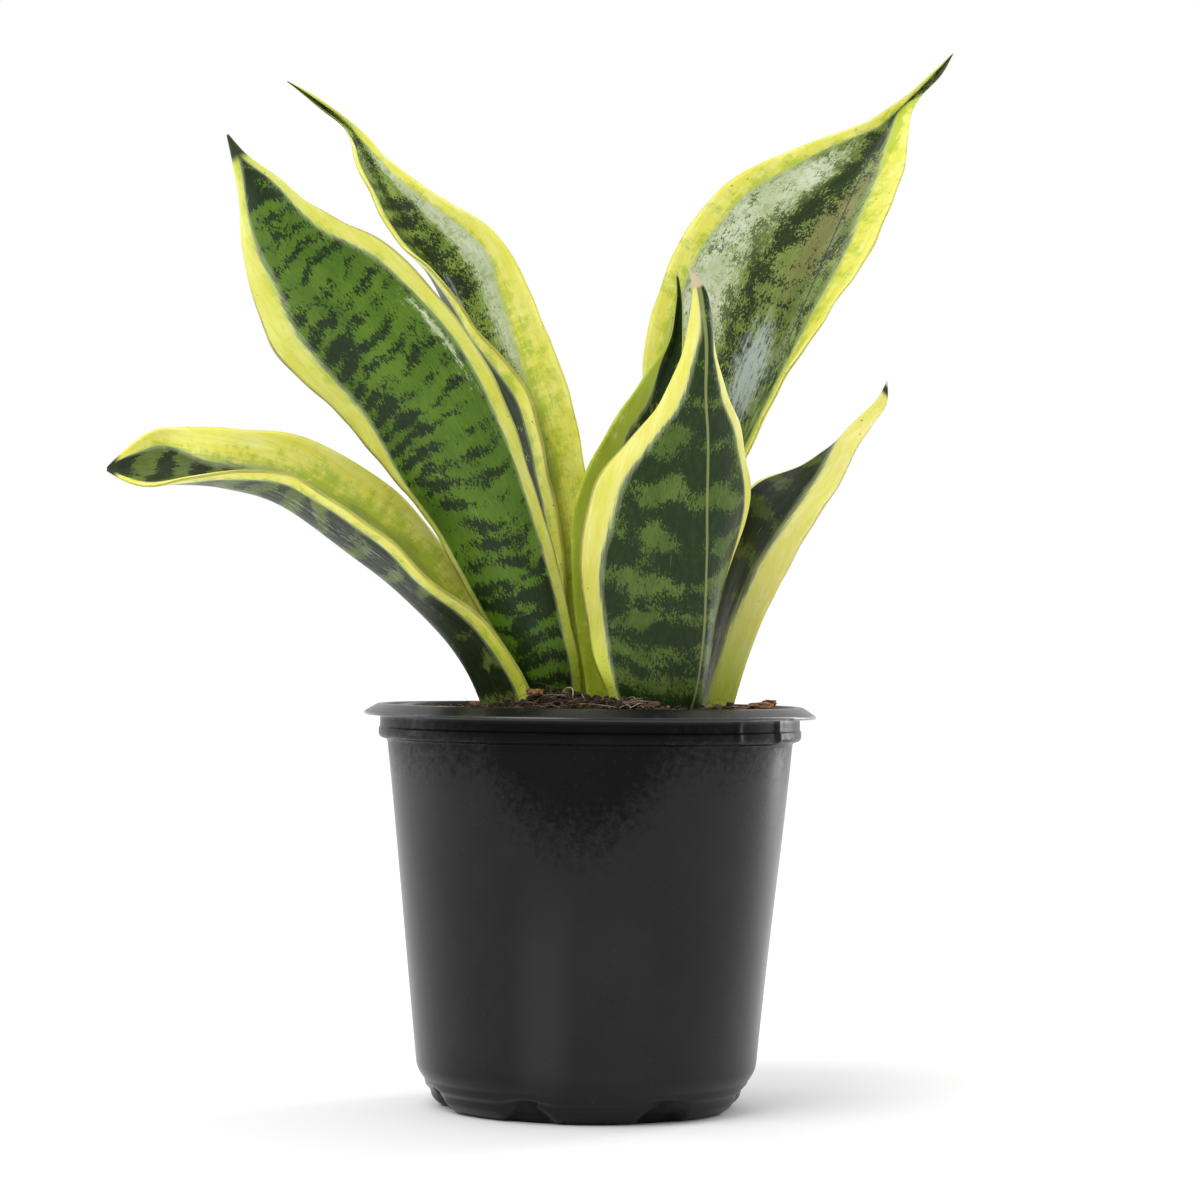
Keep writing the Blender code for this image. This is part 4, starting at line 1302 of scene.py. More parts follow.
@dataclass
class NurseryPot:
    """The black pot, one thin shell turned from its profile and then moulded, in mm."""

    height: float = 142.0
    collar_height: float = 11.6
    lip_radius: float = 80.0
    collar_radius: float = 74.2
    shoulder_radius: float = 71.6
    heel_radius: float = 60.2
    heel_height: float = 16.5
    foot_radius: float = 50.0
    wall: float = 1.1
    floor: float = 2.0
    segments: int = 320
    notches: int = 7
    notch_first: float = 22.0
    notch_width: float = 20.0
    notch_height: float = 4.4
    notch_inset: float = 1.2
    notch_reach: float = 9.5
    notch_start: float = 48.8
    notch_power: float = 1.3
    lug_turn: float = 52.0
    lug_half: float = 9.0
    lug_ridge: float = 0.4
    lug_dish: float = 0.6
    unevenness: float = 0.14
    lip_sag: float = 0.25
    corner_parts: tuple[float, ...] = (0.0, 0.3, 0.7, 1.0)
    longest_side: float = 4.0
    finish: BlackPlastic = field(default_factory=BlackPlastic)

    def corners(self) -> list[tuple[float, float, float]]:
        """The profile's corners, over the outside and down the inside.

        Returns:
            Radius, height and rounding of each corner.
        """
        top, step = self.height, self.height - self.collar_height
        heel, foot = self.heel_radius, self.foot_radius
        collar, wall = self.collar_radius, self.wall
        middle = (heel + self.shoulder_radius) / 2
        outside = [
            (foot, 0.0, 1.2), (foot + 2.6, 1.5, 1.0), (heel - 5.7, 3.7, 0.8),
            (heel - 5.1, 6.2, 0.5), (heel - 3.5, 7.8, 0.6), (heel - 2.9, 10.2, 0.5),
            (heel - 1.7, 11.8, 0.7), (heel - 0.3, 14.4, 1.2), (heel, self.heel_height, 0.8),
            (middle, (self.heel_height + step) / 2, 3.0), (self.shoulder_radius, step - 1.6, 0.5),
            (self.shoulder_radius + 0.5, step - 0.9, 0.3), (collar, step - 0.2, 0.5),
            (collar + 0.5, step + 0.8, 0.35), (collar + 0.5, step + 2.9, 0.35),
            (collar, step + 3.7, 0.35), (collar, top - 2.5, 0.6), (collar + 0.5, top - 1.8, 0.5),
            (self.lip_radius - 0.4, top - 4.0, 0.25), (self.lip_radius, top - 3.2, 0.3),
            (self.lip_radius - 0.5, top - 2.5, 0.3), (collar + 0.9, top, 0.7),
        ]
        inside = [
            (collar - wall + 0.5, top, 0.4), (collar - wall, top - 1.0, 0.5),
            (collar - wall, step + 0.4, 0.4), (self.shoulder_radius - wall, step - 1.4, 0.5),
            (middle - wall, (self.heel_height + step) / 2, 3.0),
            (heel - wall, self.heel_height, 1.0), (heel - 3.6 - wall, 7.7, 1.0),
            (foot - 1.0, self.floor, 1.0),
        ]
        return [(0.0, 0.0, 0.0), *outside, *inside, (0.0, self.floor, 0.0)]

    def profile(self) -> np.ndarray:
        """The corners with their rounding, and extra points where the wall is long.

        Returns:
            Radius and height of each point.
        """
        corners = self.corners()
        points = [corners[0][:2]]
        for before, (radius, height, soft), after in zip(corners, corners[1:], corners[2:]):
            here = np.array([radius, height])
            back = np.array(before[:2]) - here
            ahead = np.array(after[:2]) - here
            start = here + back * min(soft / np.linalg.norm(back), 0.45)
            end = here + ahead * min(soft / np.linalg.norm(ahead), 0.45)
            for part in self.corner_parts:
                points.append((1 - part) ** 2 * start + 2 * part * (1 - part) * here
                              + part ** 2 * end)
        points.append(corners[-1][:2])
        dense = [np.array(points[0], float)]
        for point in points[1:]:
            point = np.array(point, float)
            gap = np.linalg.norm(point - dense[-1])
            extra = int(gap // self.longest_side)
            for i in range(1, extra + 1):
                dense.append(dense[-1] + (point - dense[-1]) / (extra + 2 - i))
            dense.append(point)
        return np.array(dense)

    def _turned(self) -> bpy.types.Object:
        """Lay a circle's corners on the profile and spin it about the upright axis.

        Returns:
            The mesh object.
        """
        profile = self.profile()
        deselect()
        bpy.ops.mesh.primitive_circle_add(vertices=len(profile), radius=1, fill_type="NOTHING")
        piece = bpy.context.object
        piece.name = "pot_shell"
        radius, height = profile.T
        place_points(piece, np.stack([radius, 0 * radius, height], axis=1) * MM)
        with edited(piece):
            bpy.ops.mesh.select_all(action="DESELECT")
        last = len(profile) - 1
        for edge in piece.data.edges:
            edge.select = set(edge.vertices) == {0, last}
        bpy.ops.object.mode_set(mode="EDIT")
        bpy.context.tool_settings.mesh_select_mode = (False, True, False)
        bpy.ops.mesh.delete(type="EDGE")
        bpy.context.tool_settings.mesh_select_mode = (True, False, False)
        bpy.ops.mesh.select_all(action="SELECT")
        bpy.ops.mesh.spin(steps=self.segments, angle=FULL_TURN, center=(0, 0, 0),
                          axis=(0, 0, 1))
        bpy.ops.mesh.select_all(action="SELECT")
        bpy.ops.mesh.remove_doubles(threshold=WELD)
        face_outwards()
        bpy.ops.object.mode_set(mode="OBJECT")
        return piece

    def _moulded(self, points: np.ndarray) -> np.ndarray:
        """Drainage arches, the stacking lugs and the slight unevenness of thin plastic.

        Args:
            points: corners of the turned shell, in metres.

        Returns:
            The moulded corners.
        """
        x, y, z = (points / MM).T
        radius = np.hypot(x, y)
        turn = np.degrees(np.arctan2(x, -y))
        pitch = 360 / self.notches
        off = (turn + self.notch_first + pitch / 2) % pitch - pitch / 2
        off = np.clip(np.abs(np.radians(off)) * self.foot_radius / (self.notch_width / 2), 0, 1)
        arch = np.cos(off * math.pi / 2) ** self.notch_power
        low = np.clip(1 - z / self.notch_reach, 0, 1)
        outer = np.clip((radius - self.notch_start) / 2.0, 0, 1)
        z = z + self.notch_height * arch * low * outer
        radius = radius - self.notch_inset * arch * low * outer
        lug = np.abs((turn - self.lug_turn + 90) % 180 - 90)
        ridge = self.lug_ridge * np.exp(-((lug - self.lug_half) / 1.1) ** 2)
        dish = self.lug_dish * np.clip((self.lug_half - lug) / 1.5, 0, 1)
        band = np.clip((z - (self.height - 13.5)) / 2.0, 0, 1) \
            * np.clip((self.height - 3.0 - z) / 1.5, 0, 1)
        radius = radius + band * (ridge - dish) * (radius > self.collar_radius - 2)
        body = np.clip(z / 20, 0, 1) * np.clip((self.height - 5 - z) / 20, 0, 1)
        angle = np.radians(turn)
        swell = np.sin(3 * angle + z / 31) + 0.6 * np.sin(5 * angle - z / 19)
        radius = radius + self.unevenness * body * swell
        lip = np.clip((radius - self.collar_radius - 1) / 4, 0, 1)
        sag = self.lip_sag + self.lip_sag * np.sin(4 * angle + 0.8) * np.sin(angle)
        z = z - lip * sag
        return np.stack([radius * np.sin(angle), -radius * np.cos(angle), z], axis=1) * MM

    def build(self) -> bpy.types.Object:
        """Model the pot.

        Returns:
            The finished mesh object.
        """
        piece = self._turned()
        place_points(piece, self._moulded(points_of(piece)))
        x, y, z = (points_of(piece) / MM).T
        radius = np.hypot(x, y)
        inside = (radius < self.collar_radius - self.wall + 0.3) & (z > self.height - 10.5)
        top = (z > self.height - 3.6) & (radius > self.collar_radius - 0.2)
        paint(piece, "dust", np.where(inside, 0.6, np.where(top, 0.1, 0.0)))
        only(piece)
        bpy.ops.object.shade_smooth_by_angle(angle=math.radians(50))
        return piece

    def make(self) -> None:
        """Build, dress and place the pot."""
        piece = self.build()
        piece.data.materials.append(self.finish.material("pot_plastic"))
        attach(piece, BODY)
        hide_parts("nursery_pot")
        log.info("%s: %d faces", piece.name, len(piece.data.polygons))


# ---- soil ----------------------------------------------------------------------------
@dataclass(frozen=True)
class Earth:
    """Moist peat soil: dark brown with lighter crumbs and warm bits of fibre."""

    dark: Colour = (0.011, 0.007, 0.0045)
    mid: Colour = (0.036, 0.021, 0.013)
    light: Colour = (0.1, 0.062, 0.04)
    warm: Colour = (0.24, 0.105, 0.04)

    def material(self, name: str) -> bpy.types.Material:
        """Build the material; the tint of each crumb is painted on its mesh.

        Args:
            name: its name.

        Returns:
            The material.
        """
        surface = Surface(name)
        place = surface.place()
        cloud = surface.noise(place, *Grain.EARTH_CLOUD.value)
        grain = surface.noise(place, *Grain.EARTH_GRAIN.value)
        bits = surface.noise(place, *Grain.EARTH_BITS.value)
        tint = surface.painted("tint")
        colour = surface.mix((cloud * 0.6 + grain * 0.5).rise(0.35, 0.8), self.dark, self.mid)
        colour = surface.mix(tint.rise(0.5, 0.9), colour, self.light)
        colour = surface.mix(tint.rise(0.9, 1.0), colour, self.warm)
        colour = surface.mix(bits.rise(0.66, 0.74) * 0.5, colour, self.warm)
        relief = surface.bump(bits, 0.7, 0.0009)
        relief = surface.bump(grain, 0.6, 0.00035, relief)
        return surface.finish(Base_Color=colour, Roughness=0.86 + (grain - 0.5) * 0.2,
                              Normal=relief, Specular_IOR_Level=0.3)


@dataclass(frozen=True)
class Bark:
    """Dry woody bits: layered tan and brown."""

    dark: Colour = (0.09, 0.036, 0.014)
    light: Colour = (0.42, 0.21, 0.095)

    def material(self, name: str) -> bpy.types.Material:
        """Build the material.

        Args:
            name: its name.

        Returns:
            The material.
        """
        surface = Surface(name)
        place = surface.place()
        layers = surface.noise(place, *Grain.BARK_LAYERS.value)
        grain = surface.noise(place, *Grain.BARK_GRAIN.value)
        colour = surface.mix((layers * 0.8 + grain * 0.4).rise(0.4, 0.78), self.dark, self.light)
        relief = surface.bump(layers, 0.8, 0.0008)
        relief = surface.bump(grain, 0.5, 0.0002, relief)
        return surface.finish(Base_Color=colour, Roughness=0.8 + (grain - 0.5) * 0.2,
                              Normal=relief, Specular_IOR_Level=0.3)


@dataclass(frozen=True)
class Fibre:
    """Rootlets and husk threads, from brown through tan to whitish."""

    brown: Colour = (0.085, 0.045, 0.022)
    tan: Colour = (0.36, 0.23, 0.12)
    white: Colour = (0.62, 0.55, 0.42)

    def material(self, name: str) -> bpy.types.Material:
        """Build the material; the tint of each thread is painted on its mesh.

        Args:
            name: its name.

        Returns:
            The material.
        """
        surface = Surface(name)
        place = surface.place()
        grain = surface.noise(place, *Grain.FIBRE_GRAIN.value)
        tint = surface.painted("tint")
        colour = surface.mix(tint.rise(0.0, 0.6), self.brown, self.tan)
        colour = surface.mix(tint.rise(0.7, 1.0), colour, self.white)
        colour = surface.mix(grain.rise(0.5, 0.7) * 0.4, colour, self.brown)
        return surface.finish(Base_Color=colour, Roughness=0.75 + (grain - 0.5) * 0.2,
                              Normal=surface.bump(grain, 0.4, 0.0001))


@dataclass
class LooseSoil:
    """The crumbly top of the soil: a heaped bed, crumbs, threads and bits of bark, in mm."""

    edge: float = 138.0
    mound: float = 5.0
    radius: float = 72.8
    heaps: tuple[tuple[float, float, float, float], ...] = (
        (-12, -30, 14, 4.0), (14, -44, 16, 2.2), (50, -28, 13, 1.8), (60, 6, 12, 2.4),
        (-48, -20, 16, -0.8), (-40, 36, 20, -1.0), (20, 44, 22, -0.8), (-4, 12, 12, 1.2),
    )
    coarse_repeat: float = 0.16
    fine_repeat: float = 0.55
    finest: float = 2.3
    lump_heights: tuple[float, float, float] = (0.9, 0.75, 0.35)
    bed_steps: int = 210
    skirt_taper: float = 0.955
    skirt_below: float = 6.0
    crumbs: int = 4200
    crumb_reach: float = 0.985
    # Middle, squared reach and share of the piles where crumbs lie higher.
    piles: tuple[tuple[float, float, float, float], ...] = (
        (-12, -30, 260, 1.0), (14, -45, 240, 0.5))
    crumb_shapes: int = 5
    crumb_dent: float = 0.75
    smallest: float = 0.5
    largest: float = 4.0
    rough_size: float = 1.7
    near_leaf: float = 2.5
    warm_share: float = 0.25
    warm_from: float = 30.0
    threads: int = 190
    # Chance, then middle and spread to the right and to the back, of two tufts of threads.
    tufts: tuple[tuple[float, tuple[float, float], tuple[float, float]], ...] = (
        (0.3, (-8, 9), (-34, 8)), (0.16, (14, 8), (-48, 4)))
    thread_steps: int = 9
    thread_sides: int = 5
    # Start, turn, climb, length, radius, curl and tint of the threads that stand up.
    standing: tuple[tuple[Spot, float, float, float, float, float, float], ...] = (
        ((-6.0, -38.0, 145.0), 1.2, 1.45, 9.5, 0.16, 0.35, 0.95),
        ((-2.0, -38.5, 144.5), 2.4, 1.1, 6.5, 0.15, -0.3, 0.8),
        ((10.0, -51.0, 142.0), 0.3, 0.5, 8.0, 0.22, 0.28, 0.6),
        ((14.0, -52.0, 142.2), 2.6, 0.6, 6.5, 0.2, -0.3, 0.75),
        ((18.0, -52.0, 142.0), 1.7, 0.7, 5.0, 0.18, 0.2, 0.5),
    )
    flakes: int = 6
    seed: int = 11

    def level(self, x: np.ndarray, y: np.ndarray) -> np.ndarray:
        """Height of the heaped soil, without its crumbs.

        Args:
            x: millimetres to the right of the pot's axis.
            y: millimetres behind it.

        Returns:
            Millimetres above the ground.
        """
        part = np.minimum(np.hypot(x, y) / self.radius, 1.0)
        height = self.edge + self.mound * (1 - part ** 2) ** 1.5
        for heap_x, heap_y, reach, rise in self.heaps:
            height = height + rise * np.exp(-((x - heap_x) ** 2 + (y - heap_y) ** 2) / reach ** 2)
        return height

    def lumps(self, x: np.ndarray, y: np.ndarray) -> np.ndarray:
        """Uneven crumbly relief of the bed.

        Args:
            x: millimetres to the right of the pot's axis.
            y: millimetres behind it.

        Returns:
            Millimetres to add to the height.
        """
        rough = np.empty(x.size)
        high, middling, low = self.lump_heights
        for i, (right, back) in enumerate(zip(x.ravel(), y.ravel())):
            spot = Vector((right * self.coarse_repeat, back * self.coarse_repeat, 0.0))
            fine = Vector((right * self.fine_repeat, back * self.fine_repeat, 3.0))
            rough[i] = high * noise.noise(spot) + middling * noise.noise(fine) \
                + low * noise.noise(fine * self.finest)
        return rough.reshape(x.shape)

    def bed(self) -> bpy.types.Object:
        """The bed: a grid drawn into a disc, with a skirt down the pot's wall.

        Returns:
            The finished mesh object.
        """
        deselect()
        steps = self.bed_steps
        bpy.ops.mesh.primitive_grid_add(x_subdivisions=steps, y_subdivisions=steps, size=2)
        piece = bpy.context.object
        piece.name = "soil_bed"
        flat = points_of(piece)
        u, v = flat[:, 0], flat[:, 1]
        x = u * np.sqrt(1 - v ** 2 / 2) * self.radius
        y = v * np.sqrt(1 - u ** 2 / 2) * self.radius
        z = self.level(x, y) + self.lumps(x, y)
        place_points(piece, np.stack([x, y, z], axis=1) * MM)
        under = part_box("top_soil")[0][2]
        with edited(piece):
            face_outwards()
            bpy.ops.mesh.select_all(action="DESELECT")
            bpy.ops.mesh.select_non_manifold()
            drop = under - self.edge * MM
            bpy.ops.mesh.extrude_region_move(TRANSFORM_OT_translate={"value": (0, 0, drop)})
            bpy.ops.mesh.edge_face_add()
            face_outwards()
        points = points_of(piece)
        skirt = points[:, 2] < (self.edge - self.skirt_below) * MM
        points[skirt, 2] = under
        points[skirt, :2] *= self.skirt_taper
        place_points(piece, points)
        bpy.ops.object.shade_smooth()
        spread = np.array([noise.noise(Vector(tuple(p * 260))) for p in points])
        paint(piece, "tint", 0.2 + 0.5 * spread)
        return piece

    def _shapes(self, subdivisions: int, dice: random.Random) -> list[Shape]:
        """A few crumb shapes, each a dented ball of one unit across.

        Args:
            subdivisions: how fine the balls are.
            dice: the source of chance.

        Returns:
            Points and faces of each shape.
        """
        shapes = []
        for number in range(self.crumb_shapes):
            deselect()
            bpy.ops.mesh.primitive_ico_sphere_add(subdivisions=subdivisions, radius=0.5)
            ball = bpy.context.object
            points = points_of(ball)
            for i, point in enumerate(points):
                dent = noise.noise(Vector(tuple(point * 3.1)) + Vector((number * 7.0, 0, 0)))
                points[i] = point * (1 + self.crumb_dent * dent + dice.uniform(-0.12, 0.12))
            faces = [tuple(face.vertices) for face in ball.data.polygons]
            shapes.append((points, faces))
            bpy.data.objects.remove(ball, do_unlink=True)
        return shapes

    def _joined(self, name: str,
                parts: list[tuple[np.ndarray, list, float]]) -> bpy.types.Object:
        """One smooth mesh from many small closed shapes.

        Args:
            name: the name of the new object.
            parts: points, faces and tint of each shape.

        Returns:
            The mesh object.
        """
        points, faces, tints, start = [], [], [], 0
        for shape, shape_faces, tint in parts:
            points.append(shape)
            faces.extend(tuple(start + corner for corner in face) for face in shape_faces)
            tints.extend([tint] * len(shape))
            start += len(shape)
        mesh = bpy.data.meshes.new(name)
        mesh.from_pydata(np.concatenate(points).tolist(), [], faces)
        piece = bpy.data.objects.new(name, mesh)
        bpy.context.scene.collection.objects.link(piece)
        paint(piece, "tint", np.array(tints))
        only(piece)
        bpy.ops.object.shade_smooth()
        return piece

    def _leaf_trees(self) -> list[BVHTree]:
        """Search trees of the leaves, so nothing loose is strewn into them.

        Returns:
            One tree for each leaf.
        """
        trees = []
        for name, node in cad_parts.items():
            if name.startswith("leaf_"):
                corners = [tuple(v.co) for v in node.data.vertices]
                trees.append(BVHTree.FromPolygons(
                    corners, [tuple(f.vertices) for f in node.data.polygons]))
        return trees

    def _clear(self, trees: list[BVHTree], spot: Spot, room: float) -> bool:
        """Whether a spot is clear of every leaf.

        Args:
            trees: the leaves.
            spot: a place, in millimetres.
            room: how far from every leaf it has to be.

        Returns:
            True outside them all and at least that far away.
        """
        point = Vector(spot) * MM
        for tree in trees:
            near, normal, _, apart = tree.find_nearest(point)
            inside = (point - near).dot(normal) < 0
            if apart < room * MM or (apart < self.near_leaf * MM and inside):
                return False
        return True

    def loose_crumbs(self, trees: list[BVHTree]) -> bpy.types.Object:
        """Crumbs of many sizes lying on the bed.

        Args:
            trees: the leaves to keep clear of.

        Returns:
            The finished mesh object.
        """
        dice = random.Random(self.seed)
        small, large = self._shapes(1, dice), self._shapes(2, dice)
        parts = []
        while len(parts) < self.crumbs:
            out = self.radius * math.sqrt(dice.random()) * self.crumb_reach
            turn = dice.uniform(0, FULL_TURN)
            x, y = out * math.cos(turn), out * math.sin(turn)
            heaped = sum(share * math.exp(-((x - right) ** 2 + (y - back) ** 2) / reach)
                         for right, back, reach, share in self.piles)
            size = min(self.smallest + dice.expovariate(1.8), self.largest)
            size = min(size, (self.radius - out) * 1.6 + 0.8)
            rise = size * dice.uniform(-0.05, 0.35) + heaped * dice.uniform(0, 1.6)
            z = float(self.level(np.array(x), np.array(y))) + rise
            z += float(self.lumps(np.array([x]), np.array([y]))[0])
            if not self._clear(trees, (x, y, z), size * 0.42):
                continue
            points, faces = dice.choice(large if size > self.rough_size else small)
            turned = points @ np.array(Euler((dice.uniform(0, 6.3), dice.uniform(0, 6.3),
                                              dice.uniform(0, 6.3))).to_matrix())
            flat = np.array([size * dice.uniform(0.8, 1.25), size * dice.uniform(0.8, 1.1),
                             size * dice.uniform(0.6, 0.95)])
            warm = self.warm_share * (1 / (1 + math.exp(-(x - self.warm_from) / 8)))
            tint = min(dice.random() ** 1.6 + warm, 1.0)
            parts.append(((turned * flat + (x, y, z)) * MM, faces, tint))
        return self._joined("soil_crumbs", parts)

    def _thread(self, start: Spot, turn: float, climb: float, length: float, thick: float,
                curl: float, dice: random.Random) -> Shape:
        """A bent thread, tapered to its end.

        Args:
            start: where it begins, in millimetres.
            turn: its first direction, seen from above.
            climb: how steeply it sets off.
            length: millimetres.
            thick: radius, in millimetres.
            curl: how much it turns at each step.
            dice: the source of chance.

        Returns:
            Points and faces.
        """
        steps, sides = self.thread_steps, self.thread_sides
        here = np.array(start, float)
        way, tilt = turn, climb
        points = []
        for i in range(steps + 1):
            ahead = np.array([math.cos(way) * math.cos(tilt), math.sin(way) * math.cos(tilt),
                              math.sin(tilt)])
            side = np.array([-math.sin(way), math.cos(way), 0.0])
            above = np.cross(side, ahead)
            wide = thick * (1 - 0.75 * (i / steps) ** 2)
            for k in range(sides):
                angle = FULL_TURN * k / sides
                points.append(here + (side * math.cos(angle) + above * math.sin(angle)) * wide)
            here = here + ahead * length / steps
            way += curl * dice.uniform(0.3, 1.0)
            tilt -= climb * 2.0 / steps + dice.uniform(-0.12, 0.12)
        faces = []
        for i in range(steps):
            for k in range(sides):
                j = (k + 1) % sides
                faces.append((i * sides + k, (i + 1) * sides + k,
                              (i + 1) * sides + j, i * sides + j))
        faces.append(tuple(range(sides)))
        faces.append(tuple(range((steps + 1) * sides - 1, steps * sides - 1, -1)))
        return np.array(points) * MM, faces

    def loose_threads(self, trees: list[BVHTree]) -> bpy.types.Object:
        """Rootlets and husk threads lying on the soil, some standing up.

        Args:
            trees: the leaves to keep clear of.

        Returns:
            The finished mesh object.
        """
        dice = random.Random(self.seed + 1)
        parts = []
        while len(parts) < self.threads:
            out = (self.radius - 6) * math.sqrt(dice.random())
            turn = dice.uniform(0, FULL_TURN)
            x, y = out * math.cos(turn), out * math.sin(turn)
            for chance, right, back in self.tufts:
                if dice.random() < chance:
                    x, y = dice.gauss(*right), dice.gauss(*back)
            z = float(self.level(np.array(x), np.array(y))) + dice.uniform(0.2, 1.8)
            if not self._clear(trees, (x, y, z), 0.5) or math.hypot(x, y) > self.radius - 5:
                continue
            length = dice.uniform(3.0, 9.0) if dice.random() < 0.8 else dice.uniform(9.0, 15.0)
            shape, faces = self._thread((x, y, z), dice.uniform(0, 6.3),
                                        dice.uniform(0.0, 0.75), length,
                                        dice.uniform(0.04, 0.12), dice.uniform(-0.3, 0.3),
                                        dice)
            parts.append((shape, faces, dice.random() ** 1.4))
        for *course, tint in self.standing:
            parts.append((*self._thread(*course, dice), tint))
        return self._joined("soil_threads", parts)

    def bark_bit(self, node: str, number: int) -> bpy.types.Object:
        """A flaky bit of bark in the room of its solid.

        Args:
            node: the CAD node.
            number: its number, which turns and dents it.

        Returns:
            The finished mesh object.
        """
        low, high = (np.array(corner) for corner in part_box(node))
        deselect()
        bpy.ops.mesh.primitive_cube_add(size=1, location=(0, 0, 0))
        piece = bpy.context.object
        piece.name = node + "_flake"
        with edited(piece):
            bpy.ops.mesh.subdivide(number_cuts=7, smoothness=0.55)
        points = points_of(piece)
        rough = np.array([
            1 + 0.34 * noise.noise(Vector(tuple(point * 2.6)) + Vector((number * 5.0, 0, 0)))
            + 0.12 * noise.noise(Vector(tuple(point * 8.0)) + Vector((0, number * 3.0, 0)))
            for point in points])
        points = points * rough[:, None]
        turn = math.radians(37 * number + 20)
        spin = np.array([[math.cos(turn), math.sin(turn), 0],
                         [-math.sin(turn), math.cos(turn), 0], [0, 0, 1]])
        points = (points * (1.0, 0.62, 0.9)) @ spin
        points = (points - points.min(axis=0)) / np.ptp(points, axis=0) - 0.5
        place_points(piece, points * (high - low) * 0.98 + (low + high) / 2)
        only(piece)
        bpy.ops.object.shade_smooth_by_angle(angle=math.radians(40))
        return piece

    def make(self) -> None:
        """Build, dress and place all that lies on top, and hide the solids it stands in for."""
        trees = self._leaf_trees()
        earth = Earth()
        bed = self.bed()
        bed.data.materials.append(earth.material("soil_top"))
        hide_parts("top_soil")
        crumbs = self.loose_crumbs(trees)
        crumbs.data.materials.append(earth.material("soil_crumb"))
        threads = self.loose_threads(trees)
        threads.data.materials.append(Fibre().material("soil_thread"))
        for piece in (bed, crumbs, threads):
            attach(piece, BODY)
            log.info("%s: %d faces", piece.name, len(piece.data.polygons))
        bark = Bark().material("bark_flake")
        for number in range(1, self.flakes + 1):
            node = f"bark_chip_{number}"
            flake = self.bark_bit(node, number)
            flake.data.materials.append(bark)
            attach(flake, BODY)
            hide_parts(node)
            log.info("%s: %d faces", flake.name, len(flake.data.polygons))


@dataclass(frozen=True)
class Buried:
    """The pieces under the soil, which keep their solids and get their own finishes."""

    # near-black earth: painted shade where the root ball shows at the pot's foot
    ball: Earth = Earth((0.004, 0.003, 0.002), (0.01, 0.007, 0.005), (0.02, 0.014, 0.01),
                        (0.04, 0.025, 0.015))
    flesh: Bark = Bark((0.2, 0.1, 0.035), (0.5, 0.3, 0.13))
    root: Bark = Bark((0.3, 0.2, 0.1), (0.6, 0.46, 0.28))
    roots: int = 4

    def make(self) -> None:
        """Dress the root ball, the rhizome and the roots."""
        finishes = {"potting_soil": self.ball.material("root_ball_in_shade"),
                    "rhizome": self.flesh.material("rhizome_flesh")}
        root = self.root.material("root_skin")
        finishes.update({f"root_{number}": root for number in range(1, self.roots + 1)})
        for node, finish in finishes.items():
            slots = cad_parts[node].data.materials
            slots.clear()
            slots.append(finish)
            log.info("%s: dressed", node)


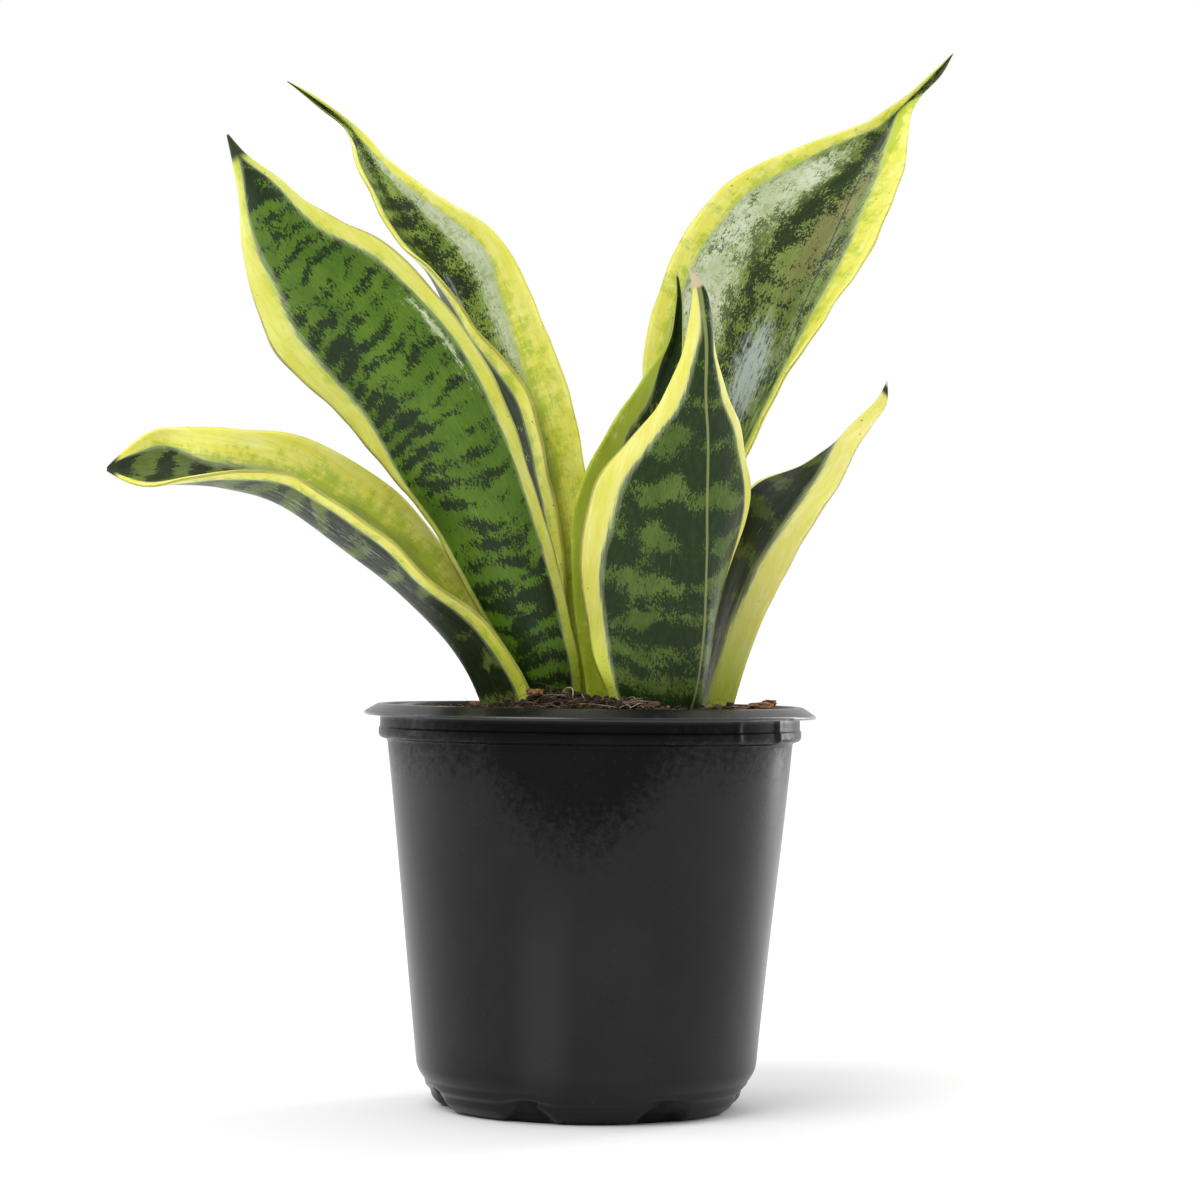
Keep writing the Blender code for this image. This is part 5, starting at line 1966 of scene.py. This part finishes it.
# ---- studio --------------------------------------------------------------------------
@dataclass
class Studio:
    """Camera, pale floor and soft light, in metres and watts."""

    distance: float = 1.272
    eye: float = 0.165
    lens: float = 107.8
    lean: float = 0.65
    shift_x: float = 0.0075
    shift_y: float = 0.0333
    floor_half: float = 30.0
    sensor: float = 36.0
    farthest: float = 50.0
    floor_dim: Colour = (0.86, 0.86, 0.86)
    floor_light: Colour = (0.9, 0.9, 0.9)
    white: tuple[float, float, float, float] = (1.0, 1.0, 1.0, 1.0)
    front_glow: float = 0.5
    back_glow: float = 1.0
    glow_start: float = -0.75
    glow_end: float = 0.25
    sun: float = 1.6
    sun_spread: float = 38.0
    sun_way: Spot = (0.42, 0.5, -0.85)
    aim: Spot = (0.0, 0.0, 0.2)
    box_size: tuple[float, float] = (0.35, 1.3)
    boxes: tuple[tuple[str, Spot, float], ...] = (
        ("left_box", (-1.25, 0.35, 0.55), 2.6),
        ("right_box", (0.95, 0.85, 0.55), 7.0),
    )

    def camera(self) -> None:
        """Stand the camera in front, a little above the pot's rim."""
        data = bpy.data.cameras.new("view")
        data.lens = self.lens
        data.sensor_width = self.sensor
        data.shift_x = self.shift_x
        data.shift_y = self.shift_y
        data.clip_end = self.farthest
        camera = bpy.data.objects.new("view", data)
        camera.location = (0.0, -self.distance, self.eye)
        camera.rotation_euler = (math.radians(90), math.radians(-self.lean), 0.0)
        bpy.context.scene.collection.objects.link(camera)
        bpy.context.scene.camera = camera

    def floor(self) -> None:
        """A plain pale floor."""
        deselect()
        bpy.ops.mesh.primitive_plane_add(size=2 * self.floor_half)
        piece = bpy.context.object
        piece.name = "floor"
        surface = Surface("floor_paint")
        cloud = surface.noise(surface.place(), *Grain.FLOOR_CLOUD.value)
        shade = surface.mix(cloud, self.floor_dim, self.floor_light)
        piece.data.materials.append(surface.finish(Base_Color=shade, Roughness=0.9))

    def lamp(self, name: str, spot: Spot, power: float) -> None:
        """Hang a soft box that faces the plant.

        Args:
            name: its name.
            spot: where it hangs.
            power: watts.
        """
        data = bpy.data.lights.new(name, "AREA")
        data.shape = "RECTANGLE"
        data.size, data.size_y = self.box_size
        data.energy = power
        lamp = bpy.data.objects.new(name, data)
        lamp.location = spot
        way = Vector(self.aim) - Vector(spot)
        lamp.rotation_euler = way.to_track_quat("-Z", "Y").to_euler()
        bpy.context.scene.collection.objects.link(lamp)

    def surround(self) -> None:
        """A white room, brightest behind and beside the plant and dim in front."""
        world = bpy.data.worlds.new("white_room")
        world.use_nodes = True
        tree = world.node_tree
        light = tree.nodes["Background"]
        seen = tree.nodes.new("ShaderNodeBackground")
        seen.inputs["Color"].default_value = self.white
        seen.inputs["Strength"].default_value = 1.0
        where = tree.nodes.new("ShaderNodeTexCoord")
        split = tree.nodes.new("ShaderNodeSeparateXYZ")
        slope = tree.nodes.new("ShaderNodeMapRange")
        slope.inputs["From Min"].default_value = self.glow_start
        slope.inputs["From Max"].default_value = self.glow_end
        slope.inputs["To Min"].default_value = self.front_glow
        slope.inputs["To Max"].default_value = self.back_glow
        tree.links.new(where.outputs["Generated"], split.inputs[0])
        tree.links.new(split.outputs["Y"], slope.inputs["Value"])
        tree.links.new(slope.outputs[0], light.inputs["Strength"])
        light.inputs["Color"].default_value = self.white
        path = tree.nodes.new("ShaderNodeLightPath")
        blend = tree.nodes.new("ShaderNodeMixShader")
        tree.links.new(path.outputs["Is Camera Ray"], blend.inputs[0])
        tree.links.new(light.outputs[0], blend.inputs[1])
        tree.links.new(seen.outputs[0], blend.inputs[2])
        tree.links.new(blend.outputs[0], tree.nodes["World Output"].inputs["Surface"])
        bpy.context.scene.world = world

    def sky(self) -> None:
        """One broad, even light from the upper left in front."""
        data = bpy.data.lights.new("soft_sun", "SUN")
        data.energy = self.sun
        data.angle = math.radians(self.sun_spread)
        lamp = bpy.data.objects.new("soft_sun", data)
        lamp.rotation_euler = Vector(self.sun_way).to_track_quat("-Z", "Y").to_euler()
        bpy.context.scene.collection.objects.link(lamp)

    def make(self) -> None:
        """Set up the whole studio."""
        self.camera()
        self.floor()
        self.surround()
        self.sky()
        for name, spot, power in self.boxes:
            self.lamp(name, spot, power)
        bpy.context.scene.view_settings.view_transform = "Standard"


# ---- everything ----------------------------------------------------------------------
def main() -> None:
    """Build the pieces in order."""
    Studio().make()
    NurseryPot().make()
    LooseSoil().make()
    Buried().make()
    for leaf in plant_leaves():
        leaf.make()


if __name__ == "__main__":
    logging.basicConfig(level=logging.INFO, format="%(message)s")
    main()
